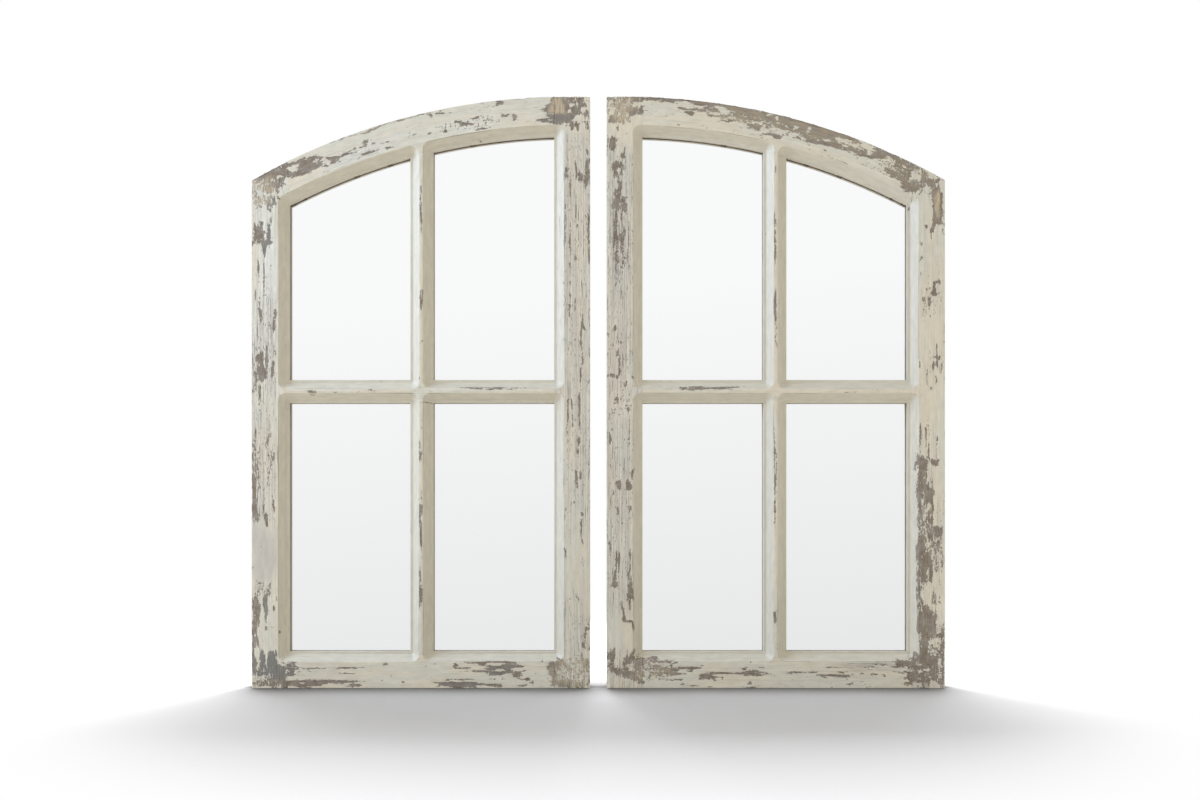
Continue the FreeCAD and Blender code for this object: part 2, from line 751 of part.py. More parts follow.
right_leaf = {
    "outer_stile": outer_stile("outer_stile"),
    "meeting_stile": meeting_stile("meeting_stile"),
    "arched_head_rail": arched_head_rail("arched_head_rail"),
    "bottom_rail": bottom_rail("bottom_rail"),
    "cross_muntin": cross_muntin("cross_muntin"),
    "lower_muntin": lower_muntin("lower_muntin"),
    "upper_muntin": upper_muntin("upper_muntin"),
    "backing_board": backing_board("backing_board"),
    "board_screws": screw_group("board_screws", board_screw, board_screw_places(), BOARD_BACK_Y),
    "hanger_screws": screw_group("hanger_screws", strap_screw, strap_screw_places(), STRAP_BACK_Y),
    "wall_bumpers": wall_bumpers("wall_bumpers"),
}
for pane_name, pane in PANES.items():
    right_leaf[f"{pane_name}_mirror"] = mirror_pane(f"{pane_name}_mirror", pane)
for side, hanger_x in HANGER_XS.items():
    right_leaf[f"{side}_hanger_strap"] = hanger_strap(f"{side}_hanger_strap", hanger_x)
    right_leaf[f"{side}_hanger_ring"] = hanger_ring(f"{side}_hanger_ring", hanger_x)

nodes = []
for node, item in right_leaf.items():
    item.Label = f"right_{node}"
    twin = doc.addObject("Part::Mirroring", f"left_{node}")
    twin.Source = item
    twin.Base = Vector(0, 0, 0)
    twin.Normal = Vector(1, 0, 0)
    twin.Label = f"left_{node}"
    nodes += [item, twin]
doc.recompute()

# ---------------------------------------------------------------- check and write

failed = [item.Label for item in doc.Objects if {"Invalid", "Error"} & set(item.State)]
if failed:
    raise RuntimeError(f"these objects failed: {failed}")
for item in nodes:
    if item.Shape.isNull() or not item.Shape.isValid() or not item.Shape.Solids:
        raise RuntimeError(f"{item.Label} has no valid solid")
os.makedirs("parts", exist_ok=True)
for item in nodes:
    item.Shape.exportStep(f"parts/{item.Label}.step")
    print(f"{item.Label}: {len(item.Shape.Solids)} solid(s), {item.Shape.Volume / 1000:.1f} cm3")
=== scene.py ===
"""Looks of a pair of arched window mirrors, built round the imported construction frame.

Two half-arch sash frames in distressed chalk paint stand side by side, each with four mirror panes, a
hardboard back and D-ring hangers.  Lengths are metres in the frame of the construction model, +X to the
right and +Z up, with the mirrors facing -Y; the wear that a person would point at is given in millimetres.
"""

import logging
import math
from dataclasses import dataclass
from enum import Enum

import bmesh
import bpy
import numpy as np
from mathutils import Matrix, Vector
from mathutils.bvhtree import BVHTree

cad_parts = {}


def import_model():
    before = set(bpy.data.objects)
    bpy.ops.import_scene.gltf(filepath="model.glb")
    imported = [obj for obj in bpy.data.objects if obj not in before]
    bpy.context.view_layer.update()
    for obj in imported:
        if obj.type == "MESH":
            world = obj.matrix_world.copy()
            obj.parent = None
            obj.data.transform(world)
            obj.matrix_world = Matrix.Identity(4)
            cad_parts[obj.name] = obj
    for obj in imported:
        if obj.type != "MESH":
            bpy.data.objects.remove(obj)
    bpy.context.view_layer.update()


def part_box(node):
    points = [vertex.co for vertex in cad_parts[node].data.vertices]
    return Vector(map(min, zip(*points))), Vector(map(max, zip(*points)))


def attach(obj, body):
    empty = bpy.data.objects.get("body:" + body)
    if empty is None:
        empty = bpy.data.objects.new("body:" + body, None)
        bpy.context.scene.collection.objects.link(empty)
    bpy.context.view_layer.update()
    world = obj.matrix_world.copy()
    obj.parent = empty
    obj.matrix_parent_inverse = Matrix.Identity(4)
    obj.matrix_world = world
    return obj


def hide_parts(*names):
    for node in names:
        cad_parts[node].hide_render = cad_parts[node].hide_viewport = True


LOG = logging.getLogger("arched_window_mirror")
MM = 0.001
Source = bpy.types.Node | bpy.types.NodeSocket  # what feeds an input: a node's first output, or a socket


# ---------------------------------------------------------------- nodes and colours

def linear(code: str) -> tuple[float, float, float, float]:
    """Turn an sRGB hex colour into the linear values that a colour socket takes.

    Args:
        code: The colour, such as "#c8c0ae".

    Returns:
        Red, green, blue and an alpha of 1.
    """
    parts = [int(code[i:i + 2], 16) / 255 for i in (1, 3, 5)]
    red, green, blue = (p / 12.92 if p <= 0.04045 else ((p + 0.055) / 1.055) ** 2.4 for p in parts)
    return red, green, blue, 1.0


def add_node(tree: bpy.types.NodeTree, kind: str, inputs: dict | None = None,
             **settings: object) -> bpy.types.Node:
    """Add a node with its settings and links.

    Args:
        tree: The shader or geometry tree that gets the node.
        kind: The node's type name.
        inputs: What each input takes, by name or number: a value, a socket, or a node for its first output.
        **settings: The node's own properties, set before its inputs.

    Returns:
        The new node.
    """
    node = tree.nodes.new(kind)
    for name, value in settings.items():
        setattr(node, name, value)
    for name, value in (inputs or {}).items():
        named = (s for s in node.inputs if s.enabled and s.name == name)
        socket = node.inputs[name] if isinstance(name, int) else next(named)
        if isinstance(value, bpy.types.Node):
            value = next(s for s in value.outputs if s.enabled)
        if isinstance(value, bpy.types.NodeSocket):
            tree.links.new(value, socket)
        else:
            socket.default_value = value
    return node


@dataclass(frozen=True)
class Figure:
    """A random figure in the wood or the paint, drawn out along the grain.

    Its value has a mean of 0 and a spread of about 1, whatever its detail, so that strengths can be compared.
    """

    along: float
    across: float
    detail: float = 3.0
    roughness: float = 0.6
    shift: float = 0.0

    @property
    def spread(self) -> float:
        """Spread of the noise about its middle of 0.5, which narrows as detail is added."""
        return 0.125 / (1 + 0.24 * self.detail) ** 0.8

    def add(self, tree: bpy.types.NodeTree, grain: bpy.types.NodeSocket) -> bpy.types.Node:
        """Add the figure to a tree.

        Args:
            tree: The shader or geometry tree.
            grain: Place along, across and through the wood, in metres.

        Returns:
            The node that holds the figure's value.
        """
        scale = (1 / (self.along * MM), 1 / (self.across * MM), 1 / (self.across * MM))
        place = add_node(tree, "ShaderNodeVectorMath", {0: grain, 1: scale, 2: (self.shift,) * 3},
                         operation="MULTIPLY_ADD")
        noise = add_node(tree, "ShaderNodeTexNoise", {"Vector": place, "Scale": 1.0, "Detail": self.detail,
                                                      "Roughness": self.roughness})
        return add_node(tree, "ShaderNodeMapRange", {"Value": noise, "From Min": 0.5,
                                                     "From Max": 0.5 + self.spread, "To Min": 0.0,
                                                     "To Max": 1.0}, clamp=False)


def new_material(name: str) -> tuple[bpy.types.Material, bpy.types.NodeTree, bpy.types.Node]:
    """Make a material with an empty surface.

    Args:
        name: The finish, in a maker's words.

    Returns:
        The material, its node tree and the output node.
    """
    material = bpy.data.materials.new(name)
    material.use_nodes = True
    tree = material.node_tree
    tree.nodes.clear()
    return material, tree, add_node(tree, "ShaderNodeOutputMaterial")


# ---------------------------------------------------------------- finishes

@dataclass(frozen=True)
class ChalkPaint:
    """Old chalky off-white paint over weathered pine, flaked and rubbed through to grey-brown wood.

    Chalk paint is matt and a little uneven: it shows the brush and the reeded grain under it as fine darker
    lines, and it breaks away in ragged flakes that run with the grain.  Bare pine has gone grey-brown.
    """

    cream: str = "#e0d5be"
    pale: str = "#dcd7c5"
    shaded: str = "#beb5aa"
    moulding: str = "#d3ccb9"
    # rim: a painted highlight along the paint's broken edges
    rim: str = "#e6e1d4"
    # the whitening and dulling colours below also paint light and shade down the left outer stile
    white: str = "#e9e6db"
    dull: str = "#bcb5ab"
    dirt: str = "#8f8775"
    wood: str = "#9c9285"
    wood_dark: str = "#6f675d"
    wood_brown: str = "#877866"
    tan: str = "#c6b599"
    slate: str = "#83817b"
    crack: str = "#6a6156"
    thickness: float = 0.35
    fraying: float = 0.7
    grain_opens: float = 1.5
    flakes: Figure = Figure(34, 9, 6, 0.7)
    crumbs: Figure = Figure(4.4, 4.4, 4, 0.6, 11.3)
    frayed: Figure = Figure(8, 2.2, 4, 0.65, 5.7)
    specks: Figure = Figure(3.6, 3.6, 3, 0.65, 13.9)
    cracks: Figure = Figure(60, 1.5, 3, 0.55, 2.9)
    flecks: Figure = Figure(9, 1.5, 3, 0.6, 8.1)
    brush: Figure = Figure(170, 1.9, 3, 0.6, 7.1)
    reeds: Figure = Figure(420, 5.5, 2, 0.5, 4.6)
    mottle: Figure = Figure(120, 26, 3, 0.55, 3.3)
    chalk: Figure = Figure(24, 7, 4, 0.65, 8.8)
    pores: Figure = Figure(22, 1.4, 3, 0.6, 1.2)
    weathering: Figure = Figure(14, 14, 5, 0.65, 6.4)

    def loss(self, tree: bpy.types.NodeTree, grain: Source, place: Source, wear: Source,
             crumb: Source) -> bpy.types.Node:
        """Add the level of paint loss, above 0 where the paint is gone.

        Args:
            tree: The shader or geometry tree.
            grain: Place along, across and through the wood.
            place: Place on the leaf, which runs on across the joints.
            wear: How worn the place is, from -4, sound, to 2, nearly bare.
            crumb: 0 where flakes run with the grain, 1 where crumbs of paint stay.

        Returns:
            The node that holds the level.
        """
        flakes = self.flakes.add(tree, grain)
        crumbs = self.crumbs.add(tree, place)
        shape = add_node(tree, "ShaderNodeMix", {"Factor": crumb, "A": flakes, "B": crumbs})
        torn = add_node(tree, "ShaderNodeMath", {0: self.frayed.add(tree, grain), 1: self.fraying, 2: shape},
                        operation="MULTIPLY_ADD")
        speckle = add_node(tree, "ShaderNodeMapRange", {"Value": crumb, "To Min": 0.5, "To Max": 1.0})
        edge = add_node(tree, "ShaderNodeMath", {0: self.specks.add(tree, place), 1: speckle, 2: torn},
                        operation="MULTIPLY_ADD")
        return add_node(tree, "ShaderNodeMath", {0: edge, 1: wear}, operation="ADD")

    def material(self) -> bpy.types.Material:
        """Build the painted finish.

        Returns:
            The material, which reads the grain, place, wear, crumb, reed, stain, slate, pale and moulded
            attributes.
        """
        material, tree, output = new_material("distressed_chalk_paint")
        grain, place = (add_node(tree, "ShaderNodeAttribute", attribute_name=name).outputs["Vector"]
                        for name in ("grain", "place"))
        wear, crumb, reed, stain, slate, pale, moulded = (
            add_node(tree, "ShaderNodeAttribute", attribute_name=name).outputs["Fac"]
            for name in ("wear", "crumb", "reed", "stain", "slate", "pale", "moulded"))
        loss = self.loss(tree, grain, place, wear, crumb)
        bare = add_node(tree, "ShaderNodeMapRange", {"Value": loss, "From Min": -0.09, "From Max": 0.09},
                        interpolation_type="SMOOTHSTEP")
        paint = self.paint_colour(tree, grain, loss, reed, pale, moulded)
        wood = self.wood_colour(tree, grain, place, loss, stain, slate)
        splits = add_node(tree, "ShaderNodeMath", {0: self.cracks.add(tree, grain),
                                                   1: self.flecks.add(tree, grain)}, operation="MAXIMUM")
        opened = add_node(tree, "ShaderNodeMath", {0: reed, 1: self.grain_opens, 2: splits},
                          operation="MULTIPLY_ADD")
        crack = add_node(tree, "ShaderNodeMapRange", {"Value": opened, "From Min": 2.9, "From Max": 3.3},
                         interpolation_type="SMOOTHSTEP")
        cracked = add_node(tree, "ShaderNodeMix", {"Factor": crack, "A": paint, "B": linear(self.crack)},
                           data_type="RGBA")
        colour = add_node(tree, "ShaderNodeMix", {"Factor": bare, "A": cracked, "B": wood}, data_type="RGBA")
        rough = add_node(tree, "ShaderNodeMapRange", {"Value": bare, "To Min": 0.5, "To Max": 0.82})
        normal = self.relief(tree, grain, bare, crack, reed)
        shader = add_node(tree, "ShaderNodeBsdfPrincipled", {"Base Color": colour, "Roughness": rough,
                                                             "Normal": normal, "IOR": 1.5})
        tree.links.new(shader.outputs[0], output.inputs[0])
        return material

    def paint_colour(self, tree: bpy.types.NodeTree, grain: Source, loss: Source, reed: Source,
                     pale: Source, moulded: Source) -> bpy.types.Node:
        """Add sound paint's colour: cream and paler areas, grey lines of grain, a painted highlight on its
        broken rim.

        Args:
            tree: The material's tree.
            grain: Place along, across and through the wood.
            loss: Level of paint loss.
            reed: How strongly the grain shows through the paint.
            pale: How white or, below 0, how much duller the paint is; partly painted light and shade.
            moulded: 1 on the smoother moulding round the panes.

        Returns:
            The node that holds the colour.
        """
        mottle = add_node(tree, "ShaderNodeMapRange", {"Value": self.mottle.add(tree, grain),
                                                       "From Min": -1.2, "From Max": 1.2})
        dulled_and_shaded = add_node(tree, "ShaderNodeMath", {0: pale, 1: -1.0}, operation="MULTIPLY", use_clamp=True)
        brush = self.brush.add(tree, grain)
        reeds = add_node(tree, "ShaderNodeMath", {0: self.reeds.add(tree, grain), 1: reed},
                         operation="MULTIPLY")
        both = add_node(tree, "ShaderNodeMath", {0: reeds, 1: 0.9, 2: brush}, operation="MULTIPLY_ADD")
        lifted = add_node(tree, "ShaderNodeMath", {0: reed, 1: 1.1, 2: both}, operation="MULTIPLY_ADD")
        share = add_node(tree, "ShaderNodeMapRange", {"Value": lifted, "From Min": -0.5, "From Max": 2.6})
        depth = add_node(tree, "ShaderNodeMapRange", {"Value": reed, "To Min": 0.22, "To Max": 0.9})
        lines = add_node(tree, "ShaderNodeMath", {0: share, 1: depth}, operation="MULTIPLY")
        # a darker line, broken up by the brush marks, where the face turns into the moulding
        turning = add_node(tree, "ShaderNodeMath", {0: moulded, 1: 0.35, 2: 0.3}, operation="COMPARE")
        turn_line_streaks = add_node(tree, "ShaderNodeMapRange", {"Value": brush, "From Min": 0.2, "From Max": 2.0,
                                                      "To Min": 0.0, "To Max": 0.8})
        turn_line = add_node(tree, "ShaderNodeMath", {0: turning, 1: turn_line_streaks}, operation="MULTIPLY")
        # painted highlight: a lighter band on the paint along its broken edges
        rim = add_node(tree, "ShaderNodeMapRange", {"Value": loss, "From Min": -0.7, "From Max": -0.15,
                                                    "To Min": 0.0, "To Max": 0.6},
                       interpolation_type="SMOOTHSTEP")
        colour = linear(self.cream)
        for share, tint in ((mottle, self.pale), (pale, self.white), (dulled_and_shaded, self.dull),
                            (moulded, self.moulding), (lines, self.shaded), (turn_line, self.dirt),
                            (rim, self.rim)):
            colour = add_node(tree, "ShaderNodeMix", {"Factor": share, "A": colour, "B": linear(tint)},
                              data_type="RGBA")
        chalk = add_node(tree, "ShaderNodeMapRange", {"Value": self.chalk.add(tree, grain), "From Min": -2.0,
                                                      "From Max": 2.0, "To Min": 0.93, "To Max": 1.05})
        return add_node(tree, "ShaderNodeMix", {"Factor": 1.0, "A": colour, "B": chalk}, data_type="RGBA",
                        blend_type="MULTIPLY")

    def wood_colour(self, tree: bpy.types.NodeTree, grain: Source, place: Source, loss: Source,
                    stain: Source, slate: Source) -> bpy.types.Node:
        """Add bare wood's colour: grey-brown, dark pores, tan or slate areas, painted shade and dirt by
        flakes.

        Args:
            tree: The material's tree.
            grain: Place along, across and through the wood.
            place: Place on the leaf, which runs on across the joints.
            loss: Level of paint loss.
            stain: How tan the place is.
            slate: How blue-grey the place is.

        Returns:
            The node that holds the colour.
        """
        age = add_node(tree, "ShaderNodeMapRange", {"Value": self.weathering.add(tree, place),
                                                    "From Min": -1.3, "From Max": 1.3})
        faded = add_node(tree, "ShaderNodeMath", {0: age, 1: 0.9, 2: stain}, operation="MULTIPLY_ADD")
        blotched = add_node(tree, "ShaderNodeMath", {0: faded, 1: stain}, operation="MULTIPLY",
                            use_clamp=True)
        pores = add_node(tree, "ShaderNodeMapRange", {"Value": self.pores.add(tree, grain), "From Min": -0.4,
                                                      "From Max": 2.4, "To Min": 0.0, "To Max": 0.75})
        # painted shade with some dirt: the bare wood darkens at the foot of the paint's broken edge
        flake_foot_shade = add_node(tree, "ShaderNodeMapRange", {"Value": loss, "From Min": 0.1, "From Max": 0.4,
                                                       "To Min": 0.45, "To Max": 0.0})
        colour = linear(self.wood)
        for share, tint in ((age, self.wood_brown), (slate, self.slate), (blotched, self.tan),
                            (pores, self.wood_dark), (flake_foot_shade, self.wood_dark)):
            colour = add_node(tree, "ShaderNodeMix", {"Factor": share, "A": colour, "B": linear(tint)},
                              data_type="RGBA")
        return colour

    def relief(self, tree: bpy.types.NodeTree, grain: Source, bare: Source, crack: Source,
               reed: Source) -> bpy.types.Node:
        """Add the relief of flaked paint, cracks and raised grain.

        Args:
            tree: The material's tree.
            grain: Place along, across and through the wood.
            bare: 1 where the paint is gone.
            crack: 1 in a crack.
            reed: How strongly the grain shows through the paint.

        Returns:
            The node that holds the normal.
        """
        reeds = add_node(tree, "ShaderNodeMapRange", {"Value": reed, "To Min": 0.02, "To Max": 0.09})
        ridges = add_node(tree, "ShaderNodeMath", {0: self.brush.add(tree, grain), 1: reeds},
                          operation="MULTIPLY")
        flaked = add_node(tree, "ShaderNodeMath", {0: bare, 1: -self.thickness, 2: ridges},
                          operation="MULTIPLY_ADD")
        height = add_node(tree, "ShaderNodeMath", {0: crack, 1: -0.3, 2: flaked}, operation="MULTIPLY_ADD")
        return add_node(tree, "ShaderNodeBump", {"Height": height, "Distance": MM, "Strength": 1.0})


PAINT = ChalkPaint()


@dataclass(frozen=True)
class BarePine:
    """Planed pine that was never painted: grain lines and slow changes of tone, with no shine."""

    name: str
    light: str
    dark: str
    roughness: float = 0.8
    grain_lines: Figure = Figure(90, 2.2, 3, 0.6, 4.4)
    tone: Figure = Figure(160, 30, 2, 0.5, 9.4)

    def material(self) -> bpy.types.Material:
        """Build the bare wood finish.

        Returns:
            The material, which reads the grain attribute.
        """
        material, tree, output = new_material(self.name)
        grain = add_node(tree, "ShaderNodeAttribute", attribute_name="grain").outputs["Vector"]
        lines = self.grain_lines.add(tree, grain)
        mixed = add_node(tree, "ShaderNodeMath", {0: self.tone.add(tree, grain), 1: 0.6, 2: lines},
                         operation="MULTIPLY_ADD")
        share = add_node(tree, "ShaderNodeMapRange", {"Value": mixed, "From Min": -1.6, "From Max": 2.4})
        colour = add_node(tree, "ShaderNodeMix", {"Factor": share, "A": linear(self.light),
                                                  "B": linear(self.dark)}, data_type="RGBA")
        bump = add_node(tree, "ShaderNodeBump", {"Height": lines, "Distance": 0.06 * MM, "Strength": 1.0})
        shader = add_node(tree, "ShaderNodeBsdfPrincipled", {"Base Color": colour, "Normal": bump,
                                                             "Roughness": self.roughness})
        tree.links.new(shader.outputs[0], output.inputs[0])
        return material


@dataclass(frozen=True)
class SilveredGlass:
    """Silver film seen through float glass: a clear cool-white mirror with the faintest uneven polish."""

    silver: str = "#f7f7f6"
    polish: float = 0.012

    def material(self) -> bpy.types.Material:
        """Build the mirror finish.

        Returns:
            The material, which reads Object coordinates.
        """
        material, tree, output = new_material("silvered_float_glass")
        place = add_node(tree, "ShaderNodeTexCoord").outputs["Object"]
        waves = add_node(tree, "ShaderNodeTexNoise", {"Vector": place, "Scale": 1 / (90 * MM), "Detail": 2.0})
        rough = add_node(tree, "ShaderNodeMapRange", {"Value": waves, "To Min": self.polish * 0.4,
                                                      "To Max": self.polish * 1.6})
        shader = add_node(tree, "ShaderNodeBsdfPrincipled", {"Base Color": linear(self.silver),
                                                             "Metallic": 1.0, "Roughness": rough})
        tree.links.new(shader.outputs[0], output.inputs[0])
        return material


@dataclass(frozen=True)
class BackingLacquer:
    """Grey lacquer that seals the silver on a mirror's back and edges: a little glossy, finely speckled."""

    colour: str = "#3d3c39"
    speckle: str = "#2b2a28"

    def material(self) -> bpy.types.Material:
        """Build the lacquered back and edge finish.

        Returns:
            The material, which reads Object coordinates.
        """
        material, tree, output = new_material("mirror_backing_lacquer")
        place = add_node(tree, "ShaderNodeTexCoord").outputs["Object"]
        grit = add_node(tree, "ShaderNodeTexNoise", {"Vector": place, "Scale": 1 / (1.5 * MM), "Detail": 2.0})
        colour = add_node(tree, "ShaderNodeMix", {"Factor": grit, "A": linear(self.colour),
                                                  "B": linear(self.speckle)}, data_type="RGBA")
        shader = add_node(tree, "ShaderNodeBsdfPrincipled", {"Base Color": colour, "Roughness": 0.45})
        tree.links.new(shader.outputs[0], output.inputs[0])
        return material


@dataclass(frozen=True)
class Hardboard:
    """Pressed wood fibre: brown and dull, with matted fibres and the print of the press screen."""

    light: str = "#8a6544"
    dark: str = "#62452d"
    screen_pitch: float = 2.4
    fibre_length: float = 5.0

    def material(self) -> bpy.types.Material:
        """Build the hardboard finish.

        Returns:
            The material, which reads Object coordinates.
        """
        material, tree, output = new_material("brown_hardboard")
        place = add_node(tree, "ShaderNodeTexCoord").outputs["Object"]
        fibres = add_node(tree, "ShaderNodeTexNoise", {"Vector": place, "Scale": 1 / (self.fibre_length * MM),
                                                       "Detail": 5.0, "Roughness": 0.65, "Distortion": 0.6})
        clouds = add_node(tree, "ShaderNodeTexNoise", {"Vector": place, "Scale": 1 / (140 * MM),
                                                       "Detail": 3.0})
        both = add_node(tree, "ShaderNodeMath", {0: clouds, 1: 0.8, 2: fibres}, operation="MULTIPLY_ADD")
        share = add_node(tree, "ShaderNodeMapRange", {"Value": both, "From Min": 0.65, "From Max": 1.15})
        colour = add_node(tree, "ShaderNodeMix", {"Factor": share, "A": linear(self.light),
                                                  "B": linear(self.dark)}, data_type="RGBA")
        screen = add_node(tree, "ShaderNodeTexVoronoi", {"Vector": place, "Randomness": 0.15,
                                                         "Scale": 1 / (self.screen_pitch * MM)})
        relief = add_node(tree, "ShaderNodeMath", {0: screen, 1: 0.35, 2: fibres}, operation="MULTIPLY_ADD")
        bump = add_node(tree, "ShaderNodeBump", {"Height": relief, "Distance": 0.25 * MM, "Strength": 1.0})
        shader = add_node(tree, "ShaderNodeBsdfPrincipled", {"Base Color": colour, "Roughness": 0.75,
                                                             "Normal": bump})
        tree.links.new(shader.outputs[0], output.inputs[0])
        return material


@dataclass(frozen=True)
class ZincPlate:
    """Bright zinc plating on pressed steel: soft blue-grey metal, cloudy, with fine handling scratches."""

    bright: str = "#c9cbcc"
    clouded: str = "#9fa2a4"

    def material(self) -> bpy.types.Material:
        """Build the zinc finish.

        Returns:
            The material, which reads Object coordinates.
        """
        material, tree, output = new_material("bright_zinc_plate")
        place = add_node(tree, "ShaderNodeTexCoord").outputs["Object"]
        clouds = add_node(tree, "ShaderNodeTexNoise", {"Vector": place, "Scale": 1 / (3 * MM), "Detail": 4.0})
        colour = add_node(tree, "ShaderNodeMix", {"Factor": clouds, "A": linear(self.bright),
                                                  "B": linear(self.clouded)}, data_type="RGBA")
        rough = add_node(tree, "ShaderNodeMapRange", {"Value": clouds, "To Min": 0.2, "To Max": 0.5})
        bump = add_node(tree, "ShaderNodeBump", {"Height": clouds, "Distance": 0.02 * MM, "Strength": 1.0})
        shader = add_node(tree, "ShaderNodeBsdfPrincipled", {"Base Color": colour, "Metallic": 1.0,
                                                             "Roughness": rough, "Normal": bump})
        tree.links.new(shader.outputs[0], output.inputs[0])
        return material


@dataclass(frozen=True)
class BumperRubber:
    """Moulded black rubber: matt, dusty grey on its high places, with a fine mould texture."""

    black: str = "#232323"
    dusty: str = "#3a3937"

    def material(self) -> bpy.types.Material:
        """Build the rubber finish.

        Returns:
            The material, which reads Object coordinates.
        """
        material, tree, output = new_material("moulded_black_rubber")
        place = add_node(tree, "ShaderNodeTexCoord").outputs["Object"]
        dust = add_node(tree, "ShaderNodeTexNoise", {"Vector": place, "Scale": 1 / (2 * MM), "Detail": 4.0})
        colour = add_node(tree, "ShaderNodeMix", {"Factor": dust, "A": linear(self.black),
                                                  "B": linear(self.dusty)}, data_type="RGBA")
        bump = add_node(tree, "ShaderNodeBump", {"Height": dust, "Distance": 0.08 * MM, "Strength": 1.0})
        shader = add_node(tree, "ShaderNodeBsdfPrincipled", {"Base Color": colour, "Roughness": 0.72,
                                                             "Normal": bump})
        tree.links.new(shader.outputs[0], output.inputs[0])
        return material


@dataclass(frozen=True)
class Finishes:
    """Every finish on the object, each built once."""

    paint: bpy.types.Material
    sight_wall: bpy.types.Material
    pine: bpy.types.Material
    mirror: bpy.types.Material
    lacquer: bpy.types.Material
    hardboard: bpy.types.Material
    zinc: bpy.types.Material
    rubber: bpy.types.Material

    @classmethod
    def build(cls) -> "Finishes":
        """Build all the finishes.

        Returns:
            The finishes.
        """
        return cls(
            paint=PAINT.material(),
            # the sight wall's dark pine is partly painted shade of the gap under the lip
            sight_wall=BarePine("dark_sight_wall", light="#50483c", dark="#332e26").material(),
            pine=BarePine("bare_pine", light="#b59a78", dark="#8a6d4d").material(),
            mirror=SilveredGlass().material(),
            lacquer=BackingLacquer().material(),
            hardboard=Hardboard().material(),
            zinc=ZincPlate().material(),
            rubber=BumperRubber().material(),
        )


# ---------------------------------------------------------------- meshes and geometry trees

def new_object(name: str, mesh: bpy.types.Mesh) -> bpy.types.Object:
    """Put a mesh in the scene under a name, with its object at the origin.

    Args:
        name: The object's and the mesh's name.
        mesh: The mesh.

    Returns:
        The object.
    """
    mesh.name = name
    item = bpy.data.objects.new(name, mesh)
    bpy.context.scene.collection.objects.link(item)
    return item


def joined(node: bpy.types.Object, flat_degrees: float = 0.03) -> bmesh.types.BMesh:
    """Copy a construction node's loose triangles as one mesh with whole flat faces.

    Args:
        node: The construction node's object.
        flat_degrees: Faces that turn by less than this become one.

    Returns:
        A new mesh, which the caller frees.
    """
    shape = bmesh.new()
    shape.from_mesh(node.data)
    bmesh.ops.remove_doubles(shape, verts=shape.verts, dist=0.001 * MM)
    bmesh.ops.dissolve_limit(shape, angle_limit=math.radians(flat_degrees), verts=shape.verts,
                             edges=shape.edges)
    return shape


def sharp_edges(shape: bmesh.types.BMesh, degrees: float) -> list[bmesh.types.BMEdge]:
    """Edges of a closed mesh that stand out more sharply than an angle."""
    return [edge for edge in shape.edges
            if len(edge.link_faces) == 2 and edge.calc_face_angle_signed() > math.radians(degrees)]


def round_edges(shape: bmesh.types.BMesh, edges: list[bmesh.types.BMEdge], offset: float) -> None:
    """Round some edges of a mesh over, in two steps."""
    bmesh.ops.bevel(shape, geom=edges, offset=offset, offset_type="OFFSET", segments=2, profile=0.5,
                    affect="EDGES", clamp_overlap=True)


def to_mesh(shape: bmesh.types.BMesh, name: str) -> bpy.types.Mesh:
    """Turn a working mesh into the mesh of a piece, and free it.

    Args:
        shape: The working mesh.
        name: The mesh's name.

    Returns:
        The mesh.
    """
    mesh = bpy.data.meshes.new(name)
    shape.to_mesh(mesh)
    shape.free()
    return mesh


def finish_smooth(mesh: bpy.types.Mesh, sharp_degrees: float = 35.0) -> None:
    """Shade a mesh smooth, apart from edges sharper than an angle."""
    mesh.polygons.foreach_set("use_smooth", [True] * len(mesh.polygons))
    mesh.set_sharp_from_angle(angle=math.radians(sharp_degrees))


def new_tree(name: str, inputs: dict[str, str]) -> tuple[bpy.types.NodeTree, bpy.types.Node]:
    """Make a geometry tree whose first input and only output is a geometry.

    Args:
        name: The tree's name.
        inputs: Socket kind of each further input, by its name.

    Returns:
        The tree and its input node.
    """
    tree = bpy.data.node_groups.new(name, "GeometryNodeTree")
    tree.interface.new_socket("Geometry", in_out="INPUT", socket_type="NodeSocketGeometry")
    for label, kind in inputs.items():
        tree.interface.new_socket(label, in_out="INPUT", socket_type=kind)
    tree.interface.new_socket("Geometry", in_out="OUTPUT", socket_type="NodeSocketGeometry")
    return tree, add_node(tree, "NodeGroupInput")


def close_tree(tree: bpy.types.NodeTree, geometry: bpy.types.Node, finishes: dict) -> None:
    """End a tree in Realize Instances and Set Material.

    Args:
        tree: The tree.
        geometry: The node whose geometry is the result.
        finishes: The material for each selection socket, where None selects everything.
    """
    last = add_node(tree, "GeometryNodeRealizeInstances", {"Geometry": geometry})
    for selection, material in finishes.items():
        chosen = {} if selection is None else {"Selection": selection}
        last = add_node(tree, "GeometryNodeSetMaterial", {"Geometry": last, **chosen, "Material": material})
    add_node(tree, "NodeGroupOutput", {0: last})


def settle(item: bpy.types.Object, tree: bpy.types.NodeTree, inputs: dict[str, object] | None = None) -> None:
    """Run a geometry tree on an object once and keep the result as its plain mesh.

    Args:
        item: The object, whose mesh is replaced.
        tree: The geometry tree.
        inputs: The value of each named input.
    """
    modifier = item.modifiers.new(tree.name, "NODES")
    modifier.node_group = tree
    for socket in tree.interface.items_tree:
        if socket.in_out == "INPUT" and socket.name in (inputs or {}):
            modifier[socket.identifier] = inputs[socket.name]
    graph = bpy.context.evaluated_depsgraph_get()
    mesh = bpy.data.meshes.new_from_object(item.evaluated_get(graph), preserve_all_data_layers=True,
                                           depsgraph=graph)
    item.modifiers.remove(modifier)
    item.data = mesh


# ---------------------------------------------------------------- the leaf's plan and its wear

